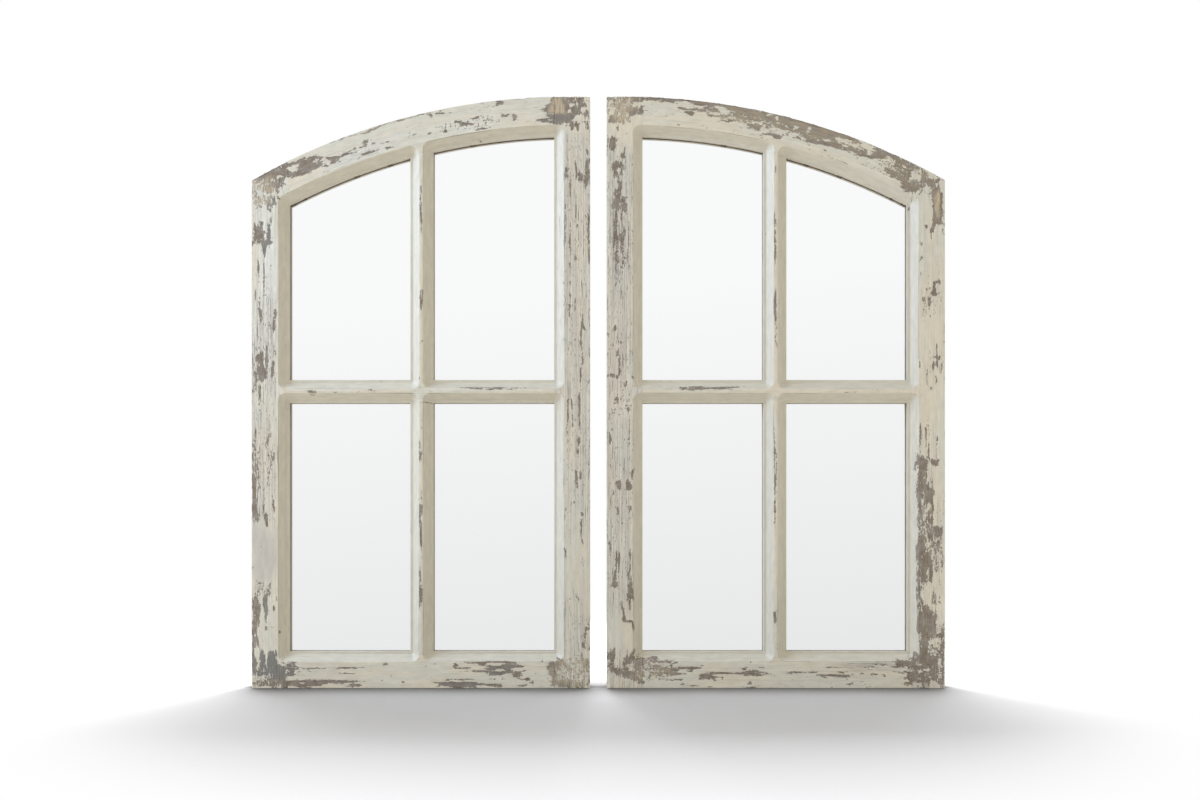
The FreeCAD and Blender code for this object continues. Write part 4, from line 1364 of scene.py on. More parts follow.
LEFT_WEAR = (
    # broad areas of the outer stile, the meeting stile and the corners
    # pale here also paints the outer stile lighter above and duller below: painted light and shade
    Worn(-597, 740, 34, 240, -3.2, pale=0.8, reed=0.4), Worn(-603, 610, 46, 190, -2.3, pale=0.4, reed=1.0),
    Worn(-603, 400, 48, 230, -2.5, pale=-0.1, reed=0.9),
    Worn(-602, 236, 46, 110, -3.6, pale=-0.75, reed=0.0),
    Worn(-602, 130, 46, 90, -3.2, pale=-0.2, reed=0.1), Worn(-42, 1040, 80, 74, -3.2, pale=0, reed=0.1),
    Worn(-42, 225, 60, 130, -3.2, reed=0.35), Worn(-230, 1018, 110, 24, -1.6, 10, crumb=0.7, pale=0.5),
    Worn(-440, 965, 150, 26, -2.2, 18, pale=0.4, reed=0.6), Worn(-330, 20, 200, 50, -3.4, reed=0.05),
    # top corner of the outer stile
    Worn(-610, 896, 46, 50, 0.6, crumb=0.9, stain=0.8), Worn(-595, 929, 74, 15, 1.9, 24, crumb=0.4),
    Worn(-568, 930, 60, 17, 2.2, 12, crumb=0.5), Worn(-530, 943, 34, 27, 2.6, 20),
    Worn(-508, 945, 26, 10, 1.9, 32), Worn(-536, 928, 42, 8, 1.9, 15), Worn(-554, 945, 24, 6, 1.8, 10),
    Worn(-580, 909, 28, 14, 2.1, 22), Worn(-588, 920, 38, 5, 1.6, 6), Worn(-551, 937, 20, 9, -3, 15),
    Worn(-573, 923, 14, 4, -2.5, 10), Worn(-590, 877, 17, 28, 1.8, slate=0.5), Worn(-598, 899, 16, 7, 1.5),
    Worn(-610, 893, 9, 11, -3), Worn(-597, 889, 7, 6, -3), Worn(-578, 895, 5, 9, 2.4, slate=0.4),
    Worn(-577, 884, 5, 6, 2.2),
    # chips along the head rail
    Worn(-508, 957, 24, 3.5, 1.8), Worn(-482, 956, 34, 4.5, 1.8, 4), Worn(-476, 952, 14, 6, 1.5, 8),
    Worn(-449, 964, 30, 4, 1.6, 12, slate=0.4), Worn(-468, 949, 32, 2.5, 1.2, 15),
    Worn(-490, 942, 7, 3, 1.3), Worn(-434, 974, 22, 3, 1.3, 18), Worn(-420, 983, 11, 8, 2.0, 30),
    Worn(-406, 983, 6, 3, 1.5), Worn(-385, 984, 22, 2.4, 1.1, 12), Worn(-405, 968, 46, 2, 0.8, 16),
    Worn(-378, 974, 13, 3, 1.2, 16), Worn(-412, 1005, 46, 4, 0.9, 22, stain=0.4),
    Worn(-345, 1027, 60, 3, 0.6, 15, stain=0.5), Worn(-178, 1056, 13, 9, 2.2), Worn(-169, 1033, 13, 5, 1.8),
    Worn(-150, 1028, 10, 12, 1.8), Worn(-218, 1028, 10, 4, 1.5), Worn(-241, 1017, 14, 6, 2.0),
    Worn(-228, 1017, 9, 4, 1.5), Worn(-200, 1025, 16, 2.4, 1.2, 5), Worn(-205, 1009, 34, 2.4, 1.1, 6),
    Worn(-275, 1004, 6, 5, 1.7), Worn(-255, 1021, 11, 3, 1.2), Worn(-304, 1000, 5, 4, 1.5),
    Worn(-302, 1033, 5, 4, 1.5), Worn(-285, 1036, 16, 2.4, 1.0), Worn(-163, 1021, 6, 3, 1.4),
    Worn(-214, 990, 6, 5, 2.6), Worn(-140, 1064, 46, 4, 0.9, 3),
    # top corner of the meeting stile
    Worn(-57, 1044, 62, 49, 2.6), Worn(-36, 1056, 34, 16, 2.2), Worn(-75, 1049, 26, 26, 2.6, stain=1.0),
    Worn(-68, 1029, 44, 13, 2.5, slate=0.5), Worn(-75, 1021, 22, 8, 2.2, slate=0.4),
    Worn(-99, 1024, 26, 6, 2.2, -5, slate=0.4), Worn(-47, 1013, 6, 13, 2.2), Worn(-37, 1013, 6, 17, 2.2),
    Worn(-35, 1028, 21, 10, -3, 10), Worn(-48, 1051, 7, 4, -3), Worn(-52, 1040, 7, 5, -3, 40),
    Worn(-19, 1036, 7, 12, 1.9), Worn(-20, 1012, 8, 14, 1.8, slate=0.4),
    # meeting stile
    Worn(-51, 830, 1.8, 320, 0.5), Worn(-40.5, 850, 1.6, 150, 0.3), Worn(-60, 880, 2, 120, 0.2),
    Worn(-57, 935, 7, 9, 1.7), Worn(-57, 924, 6, 8, 1.7), Worn(-40, 930, 4, 28, 1.9),
    Worn(-41, 946, 3, 8, 1.5), Worn(-32, 922, 8, 16, 1.9), Worn(-26, 918, 4, 12, 1.7),
    Worn(-20, 924, 12, 34, 2.2), Worn(-18, 949, 8, 14, 1.9, -30), Worn(-20, 967, 4, 10, 1.8, 20),
    Worn(-17, 815, 3, 110, 0.9), Worn(-42, 775, 4, 13, 1.7), Worn(-38, 834, 3, 7, 1.6),
    Worn(-42, 690, 3, 26, 1.4), Worn(-28, 668, 3, 14, 1.5), Worn(-29, 655, 4, 11, 1.7),
    Worn(-31, 636, 3, 42, 1.8, -4), Worn(-26, 650, 3, 10, 1.5, 20), Worn(-29, 600, 2.5, 60, 1.1),
    Worn(-32, 565, 3, 26, 1.5), Worn(-55, 500, 2.5, 76, 1.2), Worn(-47, 490, 2.5, 66, 1.4),
    Worn(-45, 511, 7, 3, 1.4), Worn(-34, 500, 3.5, 64, 1.5), Worn(-36, 446, 7, 12, 1.7),
    Worn(-37, 430, 4, 28, 2.0), Worn(-39, 380, 4, 34, 1.9), Worn(-32, 383, 3, 13, 1.5),
    Worn(-59, 323, 5, 11, 2.0), Worn(-61, 310, 3, 16, 1.7), Worn(-29, 314, 4, 8, 1.8),
    Worn(-31, 292, 3, 28, 1.8), Worn(-59, 243, 3, 20, 1.8), Worn(-62, 251, 4, 7, 1.7),
    Worn(-29, 265, 3, 9, 1.4, 20), Worn(-43, 335, 3, 6, 1.4),
    # outer stile
    Worn(-612, 818, 19, 28, 1.9, crumb=0.3), Worn(-606, 804, 14, 8, 1.5),
    Worn(-602, 793, 7, 26, 1.9, slate=0.6), Worn(-593, 827, 6, 56, 2.0, -6, slate=0.7),
    Worn(-593, 803, 12, 7, 1.9, slate=0.7), Worn(-591, 862, 3, 16, 1.7, slate=0.5),
    Worn(-607, 836, 5, 12, 1.5), Worn(-603, 735, 2.4, 60, 1.0), Worn(-613, 755, 2.4, 40, 0.9),
    Worn(-618, 715, 3, 30, 0.9), Worn(-583, 676, 6, 18, 2.4), Worn(-610, 676, 4, 16, 1.4),
    Worn(-611, 594, 13, 20, 2.1), Worn(-607, 568, 15, 26, 2.3, 14), Worn(-598, 598, 4.5, 48, 1.9),
    Worn(-587, 580, 4.5, 42, 1.6, -8), Worn(-593, 560, 3, 16, 1.4), Worn(-610, 538, 4, 22, 1.5),
    Worn(-618, 560, 4, 50, 1.2), Worn(-584, 652, 5, 18, 1.5), Worn(-584, 610, 4, 18, 1.6),
    Worn(-621, 385, 9, 150, 1.1), Worn(-621, 345, 9, 40, 1.9), Worn(-620, 319, 12, 28, 2.5),
    Worn(-613, 395, 5, 60, 0.6), Worn(-604, 325, 3, 17, 1.8, -10), Worn(-601, 310, 3.5, 17, 1.9),
    Worn(-598, 303, 3, 24, 1.9), Worn(-586, 330, 3, 28, 1.7, 8), Worn(-588, 410, 3, 24, 1.3),
    Worn(-597, 445, 2.5, 12, 1.2), Worn(-611, 365, 2.5, 12, 1.3), Worn(-585, 418, 2.5, 12, 1.3),
    Worn(-608, 180, 28, 24, -0.6, crumb=1.0), Worn(-617, 152, 15, 26, 2.2), Worn(-619, 120, 10, 60, 2.2),
    Worn(-613, 124, 5, 30, 1.6), Worn(-618, 98, 8, 40, 1.6, 5), Worn(-623, 84, 4, 40, 1.9),
    Worn(-600, 150, 7, 36, 2.2, 4, slate=0.5), Worn(-594, 172, 6, 14, 1.8, -15),
    Worn(-592, 186, 3, 14, 1.5, -10), Worn(-600, 125, 3.5, 18, 1.6), Worn(-599, 108, 6, 14, 1.8),
    Worn(-585, 143, 3, 11, 1.6), Worn(-580, 163, 2.5, 12, 1.5), Worn(-575, 101, 5, 5, 2.6),
    # foot of the outer stile and the bottom rail
    Worn(-605, 45, 10, 44, 2.6, slate=1.0), Worn(-590, 46, 18, 43, 2.6, slate=1.0),
    Worn(-592, 28, 52, 20, 2.3, slate=0.9), Worn(-620, 40, 9, 36, 1.9, slate=0.6),
    Worn(-566, 30, 40, 23, 2.2, slate=0.6), Worn(-556, 42, 28, 11, 1.2, crumb=0.5, slate=0.4),
    Worn(-600, 10, 44, 18, 1.3, crumb=0.5), Worn(-612, 19, 24, 8, -1.2, crumb=1.0),
    Worn(-547, 9, 68, 14, 2.4), Worn(-560, 15, 9, 4, -3, 20), Worn(-598.5, 57, 2.5, 22, -3),
    Worn(-572, 43, 8, 5, -2.5), Worn(-560, 32, 6, 5, -2.5), Worn(-546, 29, 6, 6, -2.5),
    Worn(-500, 9, 64, 10, 1.6), Worn(-460, 12, 64, 4.5, 1.9), Worn(-440, 5, 24, 6, 1.4),
    Worn(-477, 6, 30, 5, -3), Worn(-520, 35, 46, 2.5, 1.2), Worn(-455, 36, 70, 2.5, 1.2),
    Worn(-455, 26, 36, 2.5, 1.2), Worn(-523, 13, 18, 3, 1.5), Worn(-384, 43, 9, 4, 1.4),
    Worn(-391, 13, 4, 3, 1.6), Worn(-352, 11, 4, 3, 1.6), Worn(-374, 23, 4, 3, 1.2),
    Worn(-262, 8, 62, 6, 2.0, slate=0.4), Worn(-240, 5, 50, 9, 2.0, slate=0.4), Worn(-205, 6, 52, 3, 1.6),
    Worn(-180, 4, 12, 6, 1.6), Worn(-205, 3, 26, 3, -3), Worn(-250, 16, 50, 3, 1.5),
    Worn(-190, 16, 12, 2.4, 1.2), Worn(-170, 17, 13, 3.4, 1.4), Worn(-257, 41, 9, 9, 1.7),
    Worn(-240, 36, 42, 4, 1.6), Worn(-230, 45, 24, 3, 1.4), Worn(-210, 44, 17, 6, 1.8),
    Worn(-224, 30, 52, 3.4, 1.7), Worn(-180, 33, 44, 19, 2.4, slate=0.6), Worn(-180, 47, 60, 2.6, 1.6),
    Worn(-156, 42, 28, 11, 2.2), Worn(-148, 39, 26, 5, 2.2), Worn(-185, 43, 28, 4, -3),
    Worn(-182, 32, 24, 2, -2.5), Worn(-147, 23, 16, 10, 2.1), Worn(-148, 29, 5, 4, 1.6),
    Worn(-134, 31, 5, 2.5, 1.4), Worn(-128, 16, 6, 4, 1.5, -25), Worn(-119, 9, 5, 4, 1.8),
    Worn(-138, 4, 14, 3, 1.6),
    # foot of the meeting stile
    Worn(-46, 28, 76, 54, -0.95, crumb=1.0, stain=0.8), Worn(-82, 34, 17, 29, 2.6),
    Worn(-68, 47, 20, 11, 2.3, -22), Worn(-63, 8, 36, 12, 1.9), Worn(-33, 5, 22, 9, 1.8),
    Worn(-21, 42, 9, 17, 1.9), Worn(-29, 53, 6, 17, 1.8), Worn(-25, 92, 3.5, 36, 2.1, -9),
    Worn(-20, 106, 9, 3.5, 1.8), Worn(-27, 77, 6, 10, 2.2), Worn(-16, 72, 3, 7, 1.6),
    Worn(-30, 93, 3, 4, 1.5), Worn(-100, 50, 12, 12, -0.5, crumb=0.5),
    # muntins
    Worn(-320, 862, 3.5, 72, 1.2), Worn(-319, 705, 5, 44, 1.8), Worn(-321, 421, 5, 38, 1.8),
    Worn(-320, 304, 6, 74, 2.0), Worn(-321, 182, 4.5, 64, 1.7), Worn(-192, 541, 114, 5, 1.5),
    Worn(-516, 532, 15, 10, 2.0), Worn(-310, 515, 24, 2, 0.8),
)

RIGHT_WEAR = (
    # broad areas
    Worn(45, 1032, 84, 88, -2.6, pale=0, reed=0.1), Worn(40, 800, 36, 120, -0.9, crumb=0.3, reed=1.0),
    Worn(350, 1012, 380, 34, -1.0, -14, crumb=0.1, stain=0.4), Worn(490, 42, 130, 26, -2.8, reed=0.9),
    Worn(560, 930, 110, 50, -0.9, -25, crumb=0.8, stain=0.3), Worn(598, 700, 44, 60, -1.5, crumb=0.4),
    Worn(600, 500, 46, 60, -3.6, reed=0.1), Worn(598, 640, 44, 50, -3.6, reed=0.1),
    Worn(45, 100, 60, 60, -3.5, reed=0.1), Worn(42, 510, 50, 60, -1.6, crumb=0.6, reed=0.5),
    # top corner of the meeting stile
    Worn(38, 1046, 48, 38, 0.4, crumb=1.0, stain=0.8), Worn(52, 1063, 74, 7, 1.6),
    Worn(75, 1061, 18, 8, 1.8), Worn(112, 1062, 66, 6, 1.9), Worn(62, 1041, 34, 14, 2.4, 4),
    Worn(73, 1038, 15, 6, 2.1), Worn(45, 1030, 24, 20, 0.9, stain=1.0, crumb=0.6),
    Worn(28, 1027, 21, 15, 2.2), Worn(25, 1036, 8, 6, -3), Worn(35, 1010, 4, 9, 1.2),
    Worn(25, 984, 18, 24, 2.3), Worn(45, 961, 10, 11, 2.0), Worn(48, 971, 3, 11, 1.5),
    # meeting stile
    Worn(36, 935, 19, 30, 2.3), Worn(36, 934, 6, 6, -3), Worn(36, 895, 15, 34, 2.5),
    Worn(39, 873, 24, 22, 2.5), Worn(34, 905, 4, 8, -2.5), Worn(48, 885, 9, 4, 1.7),
    Worn(33, 850, 5, 22, 1.8), Worn(42, 850, 3, 22, 1.6), Worn(31, 838, 7, 17, 1.7),
    Worn(31, 815, 5, 32, 1.6), Worn(42, 812, 5, 16, 1.5), Worn(33, 785, 4, 28, 1.3),
    Worn(47, 815, 3, 18, 1.3), Worn(33, 750, 3, 44, 1.0), Worn(30, 650, 4, 11, 1.4),
    Worn(34, 632, 4, 17, 1.6), Worn(38, 625, 9, 3, 1.4, -35), Worn(34, 605, 5, 11, 1.4),
    Worn(38, 583, 3.5, 42, 1.7), Worn(26, 564, 17, 6, 1.6), Worn(34, 560, 4, 9, 1.5),
    Worn(48, 545, 3, 20, 1.3), Worn(50, 548, 3, 12, 1.3, -20), Worn(64, 560, 9, 4, 2.6, -40),
    Worn(33, 520, 6, 11, 1.4), Worn(54, 503, 4, 8, 1.7), Worn(21, 448, 3.5, 20, 1.8),
    Worn(56, 470, 2.5, 42, 1.0), Worn(33, 433, 6, 3, 1.4), Worn(62, 390, 5, 22, 1.7, -20),
    Worn(37, 368, 13, 15, 1.2, crumb=0.5), Worn(55, 365, 9, 17, 1.8), Worn(28, 353, 5, 10, 1.5),
    Worn(35, 322, 3.5, 17, 1.6), Worn(56, 325, 7, 13, 1.3), Worn(20, 262, 3, 7, 1.5),
    Worn(30, 190, 12, 19, 2.2), Worn(30, 204, 3, 13, 1.7), Worn(58, 181, 10, 44, 2.4),
    Worn(57, 150, 4, 22, 1.5), Worn(54, 204, 4, 15, 1.7), Worn(44, 143, 3, 15, 1.5, 15),
    Worn(46, 129, 4, 12, 1.8), Worn(52, 121, 19, 4.5, 1.9, -12), Worn(63, 112, 4, 17, 2.2, 10),
    Worn(33, 225, 2.5, 42, 1.1), Worn(38, 230, 3, 32, 1.2), Worn(57, 225, 2.6, 42, 1.3),
    Worn(22, 250, 3, 17, 1.2),
    # foot of the meeting stile
    Worn(95, 30, 74, 36, -0.6, crumb=1.0, stain=0.5), Worn(25, 53, 12, 36, 2.4),
    Worn(36, 31, 36, 10, 2.2, -18), Worn(44, 38, 17, 17, 2.0), Worn(58, 24, 36, 14, 2.2, -10),
    Worn(70, 17, 22, 10, 2.1, -25), Worn(76, 9, 10, 5, 1.8), Worn(72, 36, 15, 21, 2.5),
    Worn(62, 51, 38, 14, 1.9), Worn(65, 66, 8, 18, 2.4, -20), Worn(85, 50, 26, 8, 2.4),
    Worn(100, 52, 20, 10, 2.3), Worn(124, 48, 42, 4.5, 2.3), Worn(139, 47, 9, 6, 2.0),
    Worn(107, 37, 15, 5, 1.8), Worn(131, 43, 4, 12, 1.6), Worn(130, 30, 28, 12, 2.2),
    Worn(108, 26, 26, 5, 1.5), Worn(122, 34, 15, 4, 1.6), Worn(37, 46, 14, 17, -3),
    Worn(60, 34, 9, 8, -2.6, crumb=0.8),
    # bottom rail
    Worn(151, 36, 26, 3.4, 1.7), Worn(175, 36, 17, 4, 1.8), Worn(165, 31, 13, 4, 1.4),
    Worn(150, 26, 24, 3, 1.4), Worn(140, 15, 32, 3, 0.9), Worn(155, 8, 13, 6, 1.6),
    Worn(168, 5, 20, 3, 1.3), Worn(194, 22, 20, 9, 2.1), Worn(222, 27, 50, 3.4, 1.8),
    Worn(246, 27, 30, 2.5, 1.4), Worn(210, 20, 15, 3, 1.5), Worn(223, 18, 5, 6, 1.7),
    Worn(210, 14, 5, 4, 1.4), Worn(183, 17, 6, 3, 1.5), Worn(263, 35, 8, 4, 1.7), Worn(276, 27, 28, 8, 2.1),
    Worn(268, 23, 7, 4, 1.5), Worn(300, 27, 24, 3, 1.6), Worn(290, 23, 24, 4, 1.5), Worn(272, 9, 9, 7, 1.7),
    Worn(318, 22, 6, 3, 1.4), Worn(295, 37, 13, 2.4, 1.2), Worn(275, 50, 1.6, 10, 1.4),
    Worn(366, 28, 56, 3.6, 1.7), Worn(425, 23, 66, 3.2, 1.7), Worn(449, 22, 8, 4, 1.7),
    Worn(417, 37, 9, 3, 1.6), Worn(430, 36, 18, 2.2, 1.2), Worn(440, 29, 24, 2.4, 1.3),
    Worn(408, 18, 9, 3, 1.2), Worn(453, 7, 16, 3.4, 1.8), Worn(475, 26, 9, 3, 1.6),
    Worn(497, 25, 14, 2.4, 1.2), Worn(516, 22, 6, 4, 1.7), Worn(490, 38, 28, 2.2, 1.1),
    Worn(497, 43, 14, 2.4, 1.3), Worn(515, 42, 13, 2.4, 1.2), Worn(345, 28, 20, 2.4, 1.3),
    # lower half of the outer stile
    Worn(590, 262, 28, 130, -0.25, crumb=0.25, reed=0.6), Worn(612, 262, 18, 120, -1.1, reed=0.6),
    Worn(579.5, 190, 4, 150, 1.6), Worn(603, 150, 34, 70, -2.2, crumb=0.3),
    Worn(610, 80, 24, 70, -0.9, crumb=0.6),
    # foot of the outer stile
    Worn(588, 25, 70, 50, 0.4, crumb=0.8), Worn(590, 112, 26, 58, 2.6), Worn(601, 118, 15, 38, 2.3),
    Worn(590, 76, 13, 44, 2.4), Worn(588, 43, 42, 34, 2.5), Worn(584, 20, 46, 22, 2.4),
    Worn(560, 45, 44, 12, 2.0), Worn(543, 45, 12, 15, 2.1), Worn(572, 62, 15, 8, 2.3, -35),
    Worn(568, 64, 6, 5, 2.3), Worn(537, 38, 13, 4, 1.7), Worn(552, 29, 36, 3.4, 1.3),
    Worn(600, 46, 15, 17, 2.0), Worn(606, 29, 9, 13, 1.8), Worn(612, 13, 17, 7, 2.2, -35),
    Worn(560, 9, 24, 4, 1.6), Worn(613, 95, 14, 8, 2.0, -10), Worn(611, 70, 5, 6, 1.7),
    Worn(615, 65, 6, 4, 1.7), Worn(621, 60, 5, 110, 1.6), Worn(592, 32, 15, 4, -3, 8),
    Worn(580, 30, 6, 5, -3), Worn(604, 10, 11, 8, -3), Worn(578, 43, 6, 4, -3), Worn(574, 8, 13, 3, -3),
    # top corner of the outer stile
    Worn(565, 903, 32, 15, 2.5), Worn(542, 925, 46, 12, 2.3, -18), Worn(556, 922, 20, 36, 2.1),
    Worn(540, 948, 11, 22, 1.8, 12), Worn(528, 961, 36, 8, 2.0, -25), Worn(562, 944, 28, 8, 2.2, -28),
    Worn(587, 920, 11, 20, 1.8, stain=0.4), Worn(590, 914, 50, 5, 2.2), Worn(606, 913, 24, 6, 2.2, 25),
    Worn(602, 908, 9, 6, 2.1), Worn(573, 923, 18, 14, -2.6, crumb=0.6), Worn(567, 886, 2, 17, 2.0),
    Worn(564, 867, 5, 5, 2.4), Worn(611, 870, 18, 66, 2.5), Worn(611, 874, 10, 46, 2.6, stain=1.0),
    Worn(614, 845, 13, 13, 2.3), Worn(608, 902, 9, 3, 1.8, -30), Worn(592, 832, 5, 8, 1.7, 20),
    Worn(600, 820, 2.5, 22, 1.3), Worn(584, 800, 2.5, 8, 1.3), Worn(583, 776, 3, 6, 1.4),
    # outer stile
    Worn(614, 733, 13, 6, 1.8), Worn(606, 712, 9, 11, 2.0), Worn(606, 725, 4, 15, 1.5),
    Worn(588, 702, 4.5, 10, 1.7), Worn(597, 695, 3.4, 20, 1.7), Worn(599, 670, 2.4, 8, 1.4),
    Worn(611, 597, 14, 7, 2.1), Worn(611, 590, 4.5, 26, 2.0), Worn(610, 612, 3, 19, 1.4),
    Worn(580, 583, 2.5, 12, 1.5), Worn(604, 580, 3, 17, 1.4), Worn(618, 575, 3, 15, 1.4),
    Worn(593, 570, 2.5, 11, 1.2), Worn(593, 555, 2.5, 15, 1.4), Worn(600, 540, 3.4, 9, 1.9),
    Worn(610, 557, 3, 11, 1.5), Worn(591, 455, 3, 38, 1.7), Worn(581, 450, 2.5, 52, 1.3),
    Worn(596, 430, 2.5, 42, 1.3), Worn(611, 435, 2.5, 42, 1.2), Worn(607, 407, 14, 13, 2.2),
    Worn(581, 390, 17, 62, 2.4), Worn(588, 375, 13, 62, 2.3), Worn(601, 380, 4.5, 32, 1.7),
    Worn(577, 350, 5, 62, 1.7), Worn(590, 350, 11, 52, 2.0), Worn(598, 348, 13, 25, 2.2),
    Worn(582, 330, 4.5, 62, 1.5), Worn(602, 320, 4.5, 62, 1.8), Worn(596, 310, 8, 21, 1.9),
    Worn(577, 310, 4.5, 21, 1.6), Worn(613, 283, 15, 15, 2.2), Worn(600, 275, 7, 17, 1.9),
    Worn(585, 260, 9, 36, 2.0), Worn(611, 262, 3.5, 28, 1.5), Worn(595, 235, 10, 17, 2.0),
    Worn(587, 225, 9, 32, 1.9), Worn(576, 240, 4, 62, 1.6), Worn(577, 180, 6, 145, 2.3),
    Worn(587, 205, 13, 26, 2.2), Worn(600, 205, 6, 32, 2.2), Worn(583, 152, 7, 22, 1.9),
    Worn(604, 165, 2.5, 32, 1.3), Worn(608, 155, 2.5, 32, 1.2), Worn(590, 138, 17, 17, 2.1),
    # head rail
    Worn(130, 1062, 36, 9, 2.1, -4), Worn(165, 1060, 64, 5, 1.8, -6), Worn(180, 1054, 28, 5, 1.6, -10),
    Worn(215, 1053, 84, 7, 2.3, -9), Worn(205, 1045, 26, 10, 2.2, -10), Worn(190, 1042, 42, 5, 1.8, -6),
    Worn(225, 1046, 26, 6, -3, -14), Worn(245, 1046, 64, 8, 2.4, -12), Worn(266, 1040, 40, 13, 2.5, -14),
    Worn(290, 1033, 34, 7, 2.0, -14), Worn(305, 1036, 28, 6, 2.1, -14), Worn(225, 1033, 36, 3, 1.5, -15),
    Worn(210, 1032, 24, 3, 1.5, -6), Worn(245, 1026, 64, 4, 1.2, -8, stain=0.8),
    Worn(265, 1027, 32, 3, 1.7, -6), Worn(165, 1037, 17, 6, 1.6, -15), Worn(150, 1046, 15, 3, 1.3, -10),
    Worn(235, 1023, 15, 4, 1.4), Worn(284, 1013, 17, 5, 1.6, -15), Worn(315, 998, 26, 4, 1.6, -10),
    Worn(322, 994, 15, 5, 1.7), Worn(145, 1016, 10, 3, 1.5, slate=1.0), Worn(360, 992, 17, 4, 1.7, -10),
    Worn(317, 1027, 42, 10, 2.1, -18), Worn(345, 1021, 36, 17, 2.5, -14), Worn(330, 1012, 42, 6, 1.8, -22),
    Worn(370, 1010, 32, 15, 2.3, -18), Worn(402, 1002, 62, 22, 2.6, -19), Worn(390, 990, 42, 14, 2.3, -18),
    Worn(432, 999, 62, 13, 2.5, -20), Worn(450, 992, 30, 8, 2.3, -20), Worn(415, 985, 52, 8, 1.9, -15),
    Worn(435, 976, 52, 7, 2.1, -18), Worn(465, 970, 52, 8, 2.2, -20), Worn(478, 961, 26, 5, 1.9, -10),
    Worn(504, 965, 25, 17, 2.4, -25), Worn(500, 957, 22, 4, 1.8), Worn(381, 1009, 6, 5, -3),
    Worn(378, 1003, 6, 4, -3), Worn(357, 1011, 9, 4, -3), Worn(441, 989, 28, 4, -3, -12),
    Worn(445, 978, 12, 3, -3, -15), Worn(490, 965, 12, 6, -2.6, crumb=0.5),
    Worn(412, 987, 12, 5, -2.6, crumb=0.6), Worn(310, 1034, 13, 3, -3), Worn(322, 1027, 7, 7, -3),
    Worn(410, 970, 7, 4, 1.6), Worn(294, 991, 6, 3, 1.2),
    # muntins
    Worn(319, 815, 4, 98, 1.6), Worn(319, 688, 5, 64, 1.8), Worn(319, 376, 5, 145, 1.7),
    Worn(319, 123, 5, 38, 1.7), Worn(190, 542, 128, 6, 1.5),
)


@dataclass
class Leaf:
    """One leaf of the pair: its weathered sash, its mirrors, its back and its hangers."""

    hand: Hand
    wear: tuple[Worn, ...]
    grain_step: float = 1.37  # how far the grain is moved from one member to the next, in metres
    grain_side: float = 0.61

    def build(self, plan: SashPlan, blanks: dict[str, bmesh.types.BMesh], finishes: Finishes,
              trees: dict[str, bpy.types.NodeTree]) -> list[bpy.types.Object]:
        """Make every piece of the leaf.

        Args:
            plan: The leaf's places.
            blanks: The right leaf's wooden members, by name.
            finishes: The materials.
            trees: The geometry trees, by name.

        Returns:
            The pieces.
        """
        pieces = []
        for order, member in enumerate(MEMBERS):
            shift = self.grain_step * (order + 1) + self.grain_side * self.hand.value
            blank = blanks[member.name]
            pieces.append(member.dress(self.hand, plan, blank, self.wear, trees["weathering"], shift))
        for pane in ("lower_meeting", "lower_outer", "upper_meeting", "upper_outer"):
            pieces.append(MirrorPane(pane).build(self.hand, plan, finishes))
        board = SoftenedPart("backing_board", "hardboard", ease=0.5 * MM)
        pieces.append(board.build(self.hand, finishes.hardboard))
        for name, slot, ease, seed, tree in (("board_screws", "zinc_steel", 0.15 * MM, 7, "screws"),
                                             ("hanger_screws", "zinc_steel", 0.15 * MM, 19, "screws"),
                                             ("wall_bumpers", "rubber", 0.9 * MM, 31, "bumpers")):
            pieces.append(RepeatedPart(name, slot, ease, seed).build(self.hand, trees[tree]))
        for side in ("meeting", "outer"):
            strap = SoftenedPart(f"{side}_hanger_strap", "zinc_steel", ease=0.25 * MM)
            pieces.append(strap.build(self.hand, finishes.zinc))
            pieces.append(HangerRing(side).build(self.hand, trees["wire"]))
        return pieces


def member_blanks(plan: SashPlan) -> dict[str, bmesh.types.BMesh]:
    """Make the right leaf's wooden members, each checked against the others for its open corners.

    Args:
        plan: The leaf's places.

    Returns:
        The meshes, by the member's name.
    """
    blanks = {}
    for member in MEMBERS:
        corners, faces = [], []
        for other in MEMBERS:
            if other is not member:
                mesh = bpy.data.objects[f"right_{other.name}"].data
                faces += [[index + len(corners) for index in face.vertices] for face in mesh.polygons]
                corners += [vert.co.copy() for vert in mesh.vertices]
        blanks[member.name] = member.blank(plan, BVHTree.FromPolygons(corners, faces))
        LOG.info("blank of %s: %d faces", member.name, len(blanks[member.name].faces))
    return blanks


# ---------------------------------------------------------------- studio

class Reach(Enum):
    """What a lamp lights, with the floor's state in the lamp's light linking."""

    EVERYTHING = None
    ALL_BUT_THE_FLOOR = "EXCLUDE"
    THE_FLOOR = "INCLUDE"


@dataclass(frozen=True)
class Lamp:
    """A soft rectangular lamp: where it stands and looks, its sides in metres, its power and its colour."""

    name: str
    place: tuple[float, float, float]
    target: tuple[float, float, float]
    sides: tuple[float, float]
    watts: float
    colour: str = "#ffffff"
    reach: Reach = Reach.EVERYTHING

    def build(self, floor: bpy.types.Object) -> None:
        """Add the lamp to the scene.

        Args:
            floor: The floor, which some lamps leave out and some light alone.
        """
        lamp = bpy.data.lights.new(self.name, "AREA")
        lamp.shape = "RECTANGLE"
        lamp.size, lamp.size_y = self.sides
        lamp.energy = self.watts
        lamp.color = linear(self.colour)[:3]
        holder = bpy.data.objects.new(self.name, lamp)
        bpy.context.scene.collection.objects.link(holder)
        if self.reach is not Reach.EVERYTHING:
            linked = bpy.data.collections.new(f"floor_for_the_{self.name}")
            linked.objects.link(floor)
            linked.collection_objects[0].light_linking.link_state = self.reach.value
            holder.light_linking.receiver_collection = linked
        holder.location = self.place
        aim = Vector(self.target) - Vector(self.place)
        holder.rotation_euler = aim.to_track_quat("-Z", "Y").to_euler()


